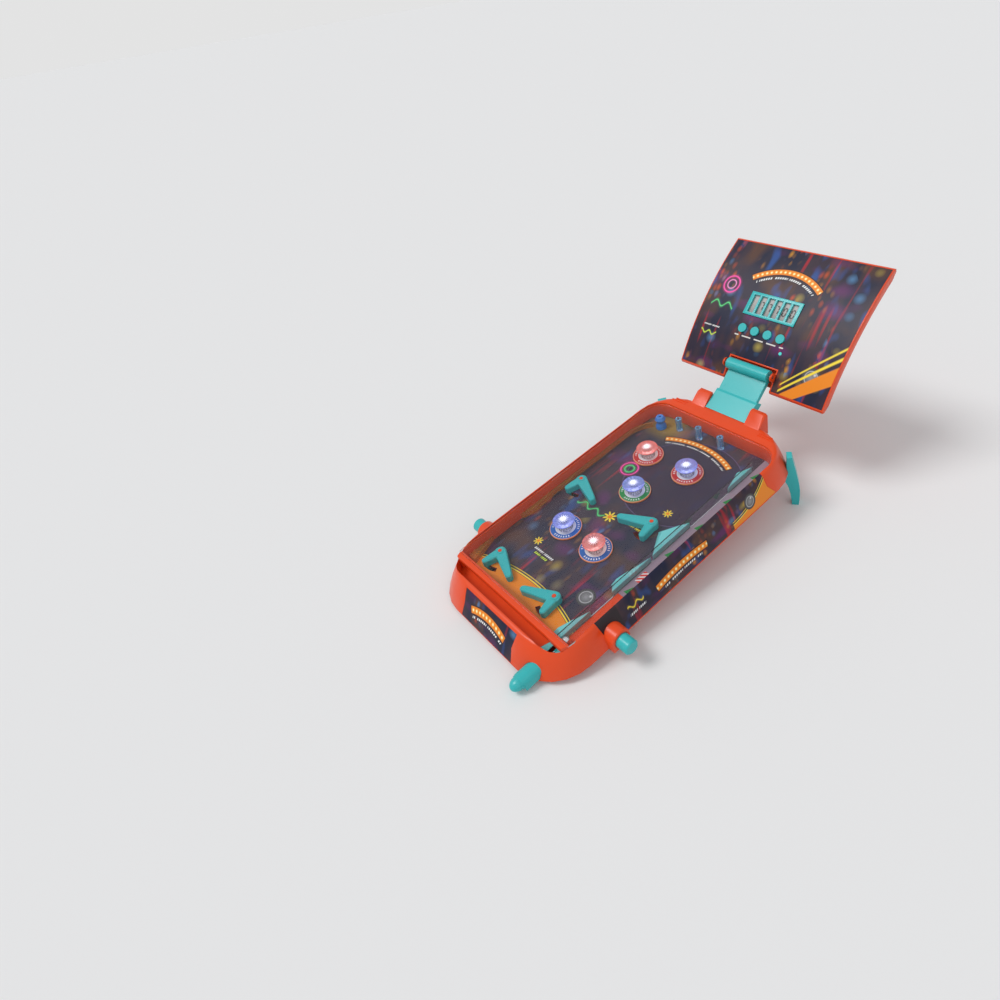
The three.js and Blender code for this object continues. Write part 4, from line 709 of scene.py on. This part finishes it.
# Score board front: u across, v up the board
boardPrint = {
    "marqueeCentre": (-6.0, 56.0), "marqueeRadius": 92.0, "marqueeReach": 60.0, "barsReach": 50.0,
    "ring": (-90.0, 112.0, 13.0, 7.0), "waveHigh": (80.0, 4.0, 3.4, -110.0, -70.0),
    "waveLow": (34.0, 2.4, 2.2, -108.0, -80.0), "words": ((-92.0, -900.0), 945.0, 14.0),
    "target": (92.0, 17.0, 14.0), "fanPoint": (-60.0, -118.0), "fanStart": 52.0,
    "fanBands": [(36.0, 41.0, amber), (42.5, 43.4, sun), (45.0, 45.6, sun)],
    "keyMarks": {"middle": -6.0, "height": 43.0, "reach": 42.0, "pitch": 21.5},
    "bareEdge": {"side": 123.4, "top": 183.0, "bottom": -17.8},
}


def paintBoard(tree, vector, x, y, z):
    look = boardPrint
    coat = Coat(tree, placed(tree, "night", U=x, V=z, Seed=12.0, Glow=1.0, Haze=0.0)["Color"])
    marquee(coat, x, z, look["marqueeCentre"], look["marqueeRadius"], look["marqueeReach"])
    neonRing(coat, x, z, look["ring"][:2], look["ring"][2], pink)
    neonRing(coat, x, z, look["ring"][:2], look["ring"][3], (0.9, 0.3, 0.6), 0.7)
    neonWave(coat, x, z, *look["waveHigh"], green)
    barRow(coat, x, z, look["marqueeCentre"], look["marqueeRadius"] - 9.5, look["barsReach"], 3.2)
    neonWave(coat, x, z, *look["waveLow"], lime, 0.8)
    barRow(coat, x, z, *look["words"], 2.2, 2.4)
    greyTarget(coat, x, z, look["target"][:2], look["target"][2])
    fan(coat, x, z, look["fanPoint"], look["fanBands"], x.above(look["fanStart"], 0.5))
    marks = look["keyMarks"]
    across = x - marks["middle"]
    row = (z - marks["height"]).abs().below(0.9, 0.2) * across.abs().below(marks["reach"], 0.3)
    coat.lay((0.75, 0.72, 0.68), row * ((across / marks["pitch"]).part() - 0.5).abs().above(0.14, 0.02))
    edge = look["bareEdge"]
    upper, lower = z.above(edge["top"], 0.1), z.below(edge["bottom"], 0.1)
    return coat.lay(bare, x.abs().above(edge["side"], 0.1).most(upper).most(lower))


prints = {
    "playfield": printShader("fieldPrint", "tray", paintField),
    "left_panel": printShader("sidePrint", "tray", paintSide),
    "front_panel": printShader("frontPrint", "tray", paintFront),
    "board_front": printShader("boardPrint", "board", paintBoard),
}
prints["right_panel"] = prints["left_panel"]
print("prints made")


weldReach = 0.00001


# Loose triangles are merged and smoothed where they meet at a shallow angle
def smoothing(limit):
    tree = bpy.data.node_groups.new(f"smoothSkin{limit:.0f}", "GeometryNodeTree")
    tree.interface.new_socket("Geometry", in_out="INPUT", socket_type="NodeSocketGeometry")
    tree.interface.new_socket("Geometry", in_out="OUTPUT", socket_type="NodeSocketGeometry")
    given, result = tree.nodes.new("NodeGroupInput"), tree.nodes.new("NodeGroupOutput")
    merge = tree.nodes.new("GeometryNodeMergeByDistance")
    merge.inputs["Distance"].default_value = weldReach
    faces = tree.nodes.new("GeometryNodeSetShadeSmooth")
    edges = tree.nodes.new("GeometryNodeSetShadeSmooth")
    edges.domain = "EDGE"
    angle = tree.nodes.new("GeometryNodeInputMeshEdgeAngle")
    sharp = tree.nodes.new("FunctionNodeCompare")
    sharp.data_type, sharp.operation = "FLOAT", "GREATER_THAN"
    sharp.inputs["B"].default_value = math.radians(limit)
    edges.inputs["Shade Smooth"].default_value = False
    fill(tree, merge, Geometry=given.outputs[0])
    fill(tree, faces, Geometry=merge.outputs[0])
    fill(tree, sharp, A=angle.outputs["Unsigned Angle"])
    fill(tree, edges, Geometry=faces.outputs[0], Selection=sharp.outputs[0])
    fill(tree, result, Geometry=edges.outputs[0])
    return tree


skins = {"fine": smoothing(14.0), "broad": smoothing(32.0)}
finelyCreased = ("bracket", "plunger", "left_leg", "right_leg", "apron")
slotOf = {row["node"]: row["material_slot"] for row in frame["record"]["subparts"]}
edgeRound = {"housing": 0.35, "apron": 0.3, "bracket": 0.45, "left_leg": 0.4, "right_leg": 0.4,
             "board_back": 0.4, "plunger": 0.3, "display_bezel": 0.2}


def dressNode(name, material):
    node = cadNodes[name]
    node.data.materials.clear()
    node.data.materials.append(material)
    weld = node.modifiers.new("weld", "WELD")
    weld.merge_threshold = weldReach
    width = edgeRound.get(name, 0.0)
    if width:
        bevel = node.modifiers.new("edgeRound", "BEVEL")
        bevel.width = width * millimetre
        bevel.segments = 2
        bevel.limit_method = "ANGLE"
        bevel.angle_limit = math.radians(38)
    smooth = node.modifiers.new("smoothSkin", "NODES")
    smooth.node_group = skins["fine" if name in finelyCreased else "broad"]


for name in cadNodes:
    slot = slotOf[name]
    if prints.get(name):
        dressNode(name, prints[name])
    elif name == "top_cover":
        dressNode(name, materials["coverSheet"])
    elif name.startswith("rear_post"):
        dressNode(name, materials["tube_plastic"])
    elif name.endswith("_guide") and slot == "teal_plastic" or name == "corner_plate":
        dressNode(name, materials["guide_plastic"])
    elif slot in materials:
        dressNode(name, materials[slot])
print("CAD nodes dressed")


bumperPlaces = [
    (-0.4735, 0.7917, "red", "red"), (0.1642, 0.799, "red", "blue"), (-0.1511, 0.6326, "green", "blue"),
    (-0.4026, 0.3757, "blue", "blue"), (0.1424, 0.3729, "blue", "red"),
]
ringTones = {"red": (0.55, 0.02, 0.02), "green": (0.01, 0.25, 0.05), "blue": (0.02, 0.13, 0.45)}
# ring and cap: radii and heights over the field, then the radii of the ring's print and of its painted
# highlight rim, the height where the cap's crown starts and the count of painted facets
bumper = {
    "ringRadius": 23.0, "ringThick": 2.6, "bore": 10.3, "steps": 64,
    "cap": [(0.01, -2.6), (3.5, -2.6), (3.5, 0.0), (9.9, 0.0), (9.9, 2.4), (5.8, 5.4), (4.5, 8.4),
            (4.6, 11.6), (8.5, 13.4), (15.6, 15.0), (15.75, 16.6), (12.8, 17.7), (7.5, 18.6), (0.01, 19.0)],
    "line": 14.3, "band": (14.6, 21.9), "ticks": (16.8, 19.8), "rim": 22.2, "crown": 14.2, "paintedFacets": 14.0,
}


# Ring print: coloured band with white ticks, on a silver middle that has painted reflections, lighter and
# darker by turns round the ring, and with a painted warm highlight round the rim
def ringMaterial(name, tone, x0, y0):
    def paint(tree, vector, x, y, z):
        r = distance(x, y, x0, y0)
        angle = (y - y0).angleTo(x - x0)
        # painted reflection: the silver middle is lighter and darker in three lobes round the ring
        coat = Coat(tree, (0.5, 0.5, 0.52)).lay((0.74, 0.74, 0.76), ((angle * 3.0).sin() * 0.5 + 0.5))
        coat.lay(tone, r.between(*bumper["band"], 0.12))
        coat.lay(white, (r - bumper["line"]).abs().below(0.35, 0.1))
        ticks = ((angle * (16 / math.pi)).part() - 0.5).abs().below(0.2, 0.02)
        gapsIn = ((angle * (1.5 / math.pi)).part() - 0.5).abs().below(0.34, 0.01)
        coat.lay(white, ticks * gapsIn * r.between(*bumper["ticks"], 0.12))
        # painted highlight: a warm orange band round the rim
        return coat.lay((0.9, 0.28, 0.1), r.above(bumper["rim"], 0.15))
    return printShader(name, "tray", paint)


floor = field["floor"] + field["gap"]
thick, bore = bumper["ringThick"], bumper["bore"]
ringProfile = softened([
    (bore, floor), (bumper["ringRadius"], floor), (bumper["ringRadius"], floor + thick),
    (bore, floor + thick), (bore, floor),
], 0.5)
capProfile = softened([(r, floor + height) for r, height in bumper["cap"]], 1.0)


# Cap: tinted crown on a clear stem. The crown has a painted glow standing in for the LED under it, with a
# painted star glint and a painted bright spot over the LED
def capMaterial(name, tone, x0, y0):
    look = clears[f"{tone}_clear_plastic"]
    material, tree, shader = newMaterial(name, IOR=1.46, Transmission_Weight=0.7, Emission_Strength=1.5)
    vector, (x, y, z) = millimetres(tree)
    r = distance(x, y, x0, y0)
    crown = z.above(floor + bumper["crown"], 0.6)
    # painted facet light and shade: bands round the axis, light and dark by turns, stand in for light falling
    # on facets
    paintedFacets = ((y - y0).angleTo(x - x0) * bumper["paintedFacets"]).sin() * 0.5 + 0.5
    coat = Coat(tree, (0.42, 0.43, 0.46)).lay((0.82, 0.84, 0.87), paintedFacets).lay(look["tint"], crown)
    # painted highlight: the crown is lighter on the bright facet bands
    coat.lay(tuple(0.4 + 0.6 * c for c in look["tint"]), crown * paintedFacets * 0.35)
    # painted glow: the whole crown emits a faint glow of its tint
    glow = Coat(tree, (0.0, 0.0, 0.0)).lay(tuple(0.1 * c for c in look["glow"]), crown)
    # painted star glint and painted bright spot in the crown's middle, over the LED
    glow.lay((0.8, 0.8, 0.9), crown * (r - paintedFacets * 4.4).below(2.2, 1.8))
    glow.lay((1.0, 1.0, 1.0), crown * r.below(2.6, 0.9))
    fill(tree, shader, Base_Color=coat, Emission_Color=glow,
         Roughness=noiseNode(tree, vector, 0.3) * 0.1 + 0.07)
    openShadow(tree, shader, tuple(0.5 + 0.5 * c for c in look["tint"]))
    return material


ringShape = turnedPoints(ringProfile, bumper["steps"])[:-2]
ringFaces = gridFaces(len(ringProfile), bumper["steps"])
capShape = turnedPoints(capProfile, bumper["steps"])
capFaces = turnedFaces(len(capProfile), bumper["steps"])
for number, (xShare, yShare, ringTone, capTone) in enumerate(bumperPlaces, 1):
    x0, y0 = xShare * field["half"], yShare * field["length"]
    place = np.array([x0, y0, 0])
    skin = ringMaterial(f"ringPrintAndSheen{number}", ringTones[ringTone], x0, y0)
    ring = newPiece(f"bumperRing{number}", onTray(ringShape + place), ringFaces, "body", skin)
    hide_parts(f"bumper_ring_{number}")
    glow = capMaterial(f"capGlow{number}", capTone, x0, y0)
    cap = newPiece(f"bumperCap{number}", onTray(capShape + place), capFaces, "body", glow)
    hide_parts(f"bumper_cap_{number}")
print("bumpers made")


# Half-inch ball at rest in the lane: its distance from the wall and the paddle it leans on
ballLook = {"radius": 6.35, "steps": 48, "rings": 32, "fromWall": 19.5, "paddle": 28.5}


# Sphere: the half circle (R sin t, -R cos t) turned about the upright axis
def ballPiece():
    radius, steps = ballLook["radius"], ballLook["steps"]
    place = (field["half"] - ballLook["fromWall"], ballLook["paddle"] + field["gap"] + radius, floor + radius)
    t = np.linspace(0.02, math.pi - 0.02, ballLook["rings"])
    profile = np.stack([radius * np.sin(t), -radius * np.cos(t)], 1)
    points = turnedPoints(profile, steps) + np.array(place)
    ball = newPiece("steelBall", onTray(points), turnedFaces(len(profile), steps), "ball",
                    materials["steel"])
    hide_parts("ball")


ballPiece()
print("ball made")


# A digit has up to seven flat six-sided bars; digitBars says which are dark for a number
digitLook = {"wide": 4.8, "tall": 11.5, "bar": 2.1, "gap": 0.15, "slant": 0.06, "proud": 0.06}
digitBars = {"0": "abcdef", "7": "abc"}


# A bar between two points: its axis, drawn in at both ends, plus half its width either way
def barPoints(start, end, half, gap):
    start, end = np.array(start, float), np.array(end, float)
    along = (end - start) / np.linalg.norm(end - start)
    across = np.array([-along[1], along[0]])
    a, b = start + along * gap, end - along * gap
    return [a, a + (along + across) * half, b + (-along + across) * half, b,
            b - (along + across) * half, a + (along - across) * half]


def digitPoints(number, middle):
    w, t = digitLook["wide"] / 2, digitLook["tall"] / 2
    ends = {"a": ((-w, t), (w, t)), "b": ((w, t), (w, 0)), "c": ((w, 0), (w, -t)), "d": ((-w, -t), (w, -t)),
            "e": ((-w, 0), (-w, -t)), "f": ((-w, t), (-w, 0)), "g": ((-w, 0), (w, 0))}
    points, faces = [], []
    for bar in digitBars[number]:
        outline = barPoints(*ends[bar], digitLook["bar"] / 2, digitLook["gap"])
        faces.append([len(points) + k for k in range(6)])
        points += [(p[0] + p[1] * digitLook["slant"] + middle, p[1]) for p in outline]
    return points, faces


# film: the display film's dark and light tones, for its painted shade and painted light
display = {
    "x": -6.0, "height": 92.0, "inner": 39.0, "cells": 6, "shown": " 77700", "depth": 2.7, "toLeft": 0.7,
    "ink": ((0.003, 0.003, 0.004), (0.009, 0.008, 0.009)), "film": ((0.34, 0.31, 0.3), (0.72, 0.66, 0.64)),
}


def displayDigits():
    middle = display["height"]
    tilt = -math.degrees(math.atan2(boardFace(middle + 5) - boardFace(middle - 5), 10))
    pitch = 2 * display["inner"] / display["cells"]
    allPoints, allFaces = [], []
    for k, number in enumerate(display["shown"]):
        if number == " ":
            continue
        points, faces = digitPoints(number, -display["inner"] - display["toLeft"] + (k + 0.5) * pitch)
        allFaces += [[len(allPoints) + i for i in face] for face in faces]
        allPoints += points
    flat = np.array([(u, display["depth"] - digitLook["proud"], v) for u, v in allPoints])
    placedPoints = turnedAboutX(flat, tilt) + np.array([display["x"], boardFace(middle), middle])
    ink, tree, shader = newMaterial("digitInk")
    vector, _ = millimetres(tree, "board")
    grain = noiseNode(tree, vector, 2.0)
    coat = Coat(tree, display["ink"][0]).lay(display["ink"][1], grain)
    fill(tree, shader, Base_Color=coat, Roughness=grain * 0.2 + 0.3)
    newPiece("displayDigits", onBoard(placedPoints), allFaces, "score_board", ink,
             smooth=False)


displayDigits()
print("display digits made")


# Grey display film behind the bezel, with painted shade and light: darker at the bottom, lighter towards the
# top
def paneMaterial():
    material, tree, shader = newMaterial("displayFilm", IOR=1.45)
    vector, (x, y, z) = millimetres(tree, "board")
    # painted light and shade: the film goes from its dark tone low in the recess to its light tone at the top
    light = (z - display["height"] - 14.0) * (1 / 40.0) + 0.7
    coat = Coat(tree, display["film"][0]).lay(display["film"][1], light.made("ADD", 0.0, clamp=True))
    coat.lay((0.2, 0.18, 0.18), noiseNode(tree, vector, 0.4) * 0.2)
    fill(tree, shader, Base_Color=coat, Roughness=noiseNode(tree, vector, 0.2) * 0.15 + 0.45)
    return material


cadNodes["display_pane"].data.materials.clear()
cadNodes["display_pane"].data.materials.append(paneMaterial())


# Pan-head screws on the board's back: places across and up the board, head profile and its cross, which is a
# dark painted shade of a slot that the head doesn't have
screws = {
    "places": [(-96.0, 14.0), (96.0, 14.0), (-96.0, 158.0), (96.0, 158.0)], "steps": 28,
    "profile": [(0.01, -0.2), (2.7, -0.2), (2.7, 0.35), (2.1, 0.75), (0.01, 0.95)],
    "crossHalf": 0.32, "crossReach": 1.4,
}


def screwMaterial():
    material, tree, shader = newMaterial("screwSteel", Metallic=1.0)
    vector, (x, y, z) = millimetres(tree, "board")
    worn = noiseNode(tree, vector, 1.4)
    coat = Coat(tree, (0.42, 0.43, 0.45)).lay((0.66, 0.67, 0.69), worn)
    for x0, z0 in screws["places"]:
        across, up = (x - x0).abs(), (z - z0).abs()
        # painted shade: the cross slot is only a dark mark on the head, which has no recess
        cross = across.least(up).below(screws["crossHalf"], 0.06)
        cross = cross * across.most(up).below(screws["crossReach"], 0.1)
        coat.lay((0.02, 0.02, 0.022), cross)
    fill(tree, shader, Base_Color=coat, Roughness=worn * 0.2 + 0.2)
    return material


# Head on the skin: place + r cos a across + r sin a up + height along the skin's normal
def boardScrews():
    bpy.context.view_layer.update()
    profile = softened(screws["profile"], 0.25)
    head, faces = turnedPoints(profile, screws["steps"]), turnedFaces(len(profile), screws["steps"])
    allPoints, allFaces = [], []
    for number, (x0, z0) in enumerate(screws["places"]):
        start, end = onBoard([(x0, 60.0, z0), (x0, 0.0, z0)])
        ray = Vector(end - start).normalized()
        hit, place, normal, _ = cadNodes["board_back"].ray_cast(Vector(start), ray)
        if not hit:
            raise RuntimeError("a screw misses the board's back")
        normal = np.array(normal)
        across = np.array((1.0, 0.0, 0.0))  # the board's own x, which lies in its skin
        up = np.cross(normal, across)
        allPoints.append(np.array(place) + (head @ np.stack([across, up, normal])) * millimetre)
        allFaces += [[k + number * len(head) for k in face] for face in faces]
    newPiece("boardScrews", np.concatenate(allPoints), allFaces, "score_board", screwMaterial())


boardScrews()
print("board screws made")


# Return springs: the fixed and the free end on the axis, the radius of the turns and the travel
springWire = {"radius": 0.4, "sides": 8, "stepsPerTurn": 28, "flatTurns": 0.75}
buttonSpring = {"radius": 2.7, "turns": 7, "travel": 14.5}
springs = [
    {"name": "leftSpring", "node": "left_spring", "joint": "left_button_press",
     "fixed": (-64.56, 100.0, -33.2), "free": (-90.56, 100.0, -33.2), **buttonSpring},
    {"name": "rightSpring", "node": "right_spring", "joint": "right_button_press",
     "fixed": (20.49, 100.0, -33.2), "free": (46.49, 100.0, -33.2), **buttonSpring},
    {"name": "plungerSpring", "node": "plunger_spring", "joint": "plunger_pull",
     "fixed": (87.0, 5.3, -33.2), "free": (87.0, 25.2, -33.2), "radius": 3.2, "turns": 5, "travel": 15.0},
]


# Wire on a helix: fixed + h(t) along + R (side cos a + up sin a), with a = 2 pi turns t and h(t)
# level over the flat turns at both ends, and a ring of radius w about each of its points
def springPoints(look):
    wire, turns = springWire["radius"], look["turns"]
    fixed, free = np.array(look["fixed"]), np.array(look["free"])
    length = np.linalg.norm(free - fixed)
    along = (free - fixed) / length
    side = np.cross(along, (0.0, 0.0, 1.0))
    up = np.cross(side, along)
    t = np.linspace(0, 1, turns * springWire["stepsPerTurn"] + 1)
    flat = springWire["flatTurns"] / turns
    height = wire + (length - 2 * wire) * np.clip((t - flat) / (1 - 2 * flat), 0, 1)
    a = 2 * math.pi * turns * t[:, None]
    out = np.cos(a) * side + np.sin(a) * up
    path = fixed + height[:, None] * along + look["radius"] * out
    forward = np.gradient(path, axis=0)
    forward /= np.linalg.norm(forward, axis=1)[:, None]
    across = np.cross(forward, out)
    b = np.linspace(0, 2 * math.pi, springWire["sides"], endpoint=False)[None, :, None]
    rings = path[:, None] + wire * (np.cos(b) * out[:, None] + np.sin(b) * across[:, None])
    return np.concatenate([rings.reshape(-1, 3), path[:1], path[-1:]]), len(t), length


for look in springs:
    wirePoints, rows, length = springPoints(look)
    spring = newPiece(look["name"], onTray(wirePoints), turnedFaces(rows, springWire["sides"]), "body",
                      materials["steel"])
    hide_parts(look["node"])
    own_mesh(spring)
print("springs made")


stage = {"floor": (0.82, 0.82, 0.82), "reach": 60.0, "sky": 0.5, "skyTone": (0.97, 0.98, 1.0), "seen": 0.77}


def makeStage():
    s = stage["reach"]
    mesh = bpy.data.meshes.new("floor")
    mesh.from_pydata([(-s, -s, 0), (s, -s, 0), (s, s, 0), (-s, s, 0)], [], [(0, 1, 2, 3)])
    paper = newMaterial("floorPaper", Base_Color=stage["floor"], Roughness=0.9, Specular_IOR_Level=0.0)[0]
    mesh.materials.append(paper)
    ground = newObject("floor", mesh)
    world = bpy.data.worlds.new("studio")
    bpy.context.scene.world = world
    world.use_nodes = True
    tree = world.node_tree
    tree.nodes.clear()
    output = tree.nodes.new("ShaderNodeOutputWorld")
    ray = tree.nodes.new("ShaderNodeLightPath")
    sky, seen = tree.nodes.new("ShaderNodeBackground"), tree.nodes.new("ShaderNodeBackground")
    fill(tree, sky, Color=stage["skyTone"], Strength=stage["sky"])
    fill(tree, seen, Color=(1.0, 1.0, 1.0), Strength=stage["seen"])
    either = Formula(tree, ray.outputs["Is Camera Ray"]).most(Formula(tree, ray.outputs["Is Glossy Ray"]))
    either = either.most(Formula(tree, ray.outputs["Is Transmission Ray"]))
    mix = tree.nodes.new("ShaderNodeMixShader")
    tree.links.new(either.value, mix.inputs[0])
    tree.links.new(sky.outputs[0], mix.inputs[1])
    tree.links.new(seen.outputs[0], mix.inputs[2])
    tree.links.new(mix.outputs[0], output.inputs[0])


# Broad suns: where each comes from, how strong it is and how soft its shadow
lamps = [
    {"name": "keyLamp", "place": (-0.55, -0.75, 1.3), "power": 1.45, "spread": 24.0},
    {"name": "fillLamp", "place": (1.0, -0.5, 0.9), "power": 0.4, "spread": 50.0},
]


def makeLamps():
    for look in lamps:
        light = bpy.data.lights.new(look["name"], "SUN")
        light.energy, light.angle = look["power"], math.radians(look["spread"])
        lamp = newObject(look["name"], light)
        lamp.location = look["place"]
        lamp.rotation_euler = (-Vector(look["place"])).to_track_quat("-Z", "Y").to_euler()
        lamp.visible_transmission = False  # its light comes through the clear sheets by openShadow


view = {
    "place": (0.51829, -0.21982, 0.64895), "turn": (53.1576, 7.3894, 50.2481),
    "lens": 23.68, "shift": (-0.0552, -0.0304),
}


def makeCamera():
    data = bpy.data.cameras.new("camera")
    data.sensor_width, data.lens = 36.0, view["lens"]
    data.shift_x, data.shift_y = view["shift"]
    data.clip_start, data.clip_end = 0.01, 200.0
    camera = newObject("camera", data)
    camera.location = view["place"]
    camera.rotation_euler = [math.radians(a) for a in view["turn"]]
    bpy.context.scene.camera = camera


makeStage()
makeLamps()
makeCamera()
bpy.context.scene.view_settings.view_transform = "Standard"
print("stage ready")
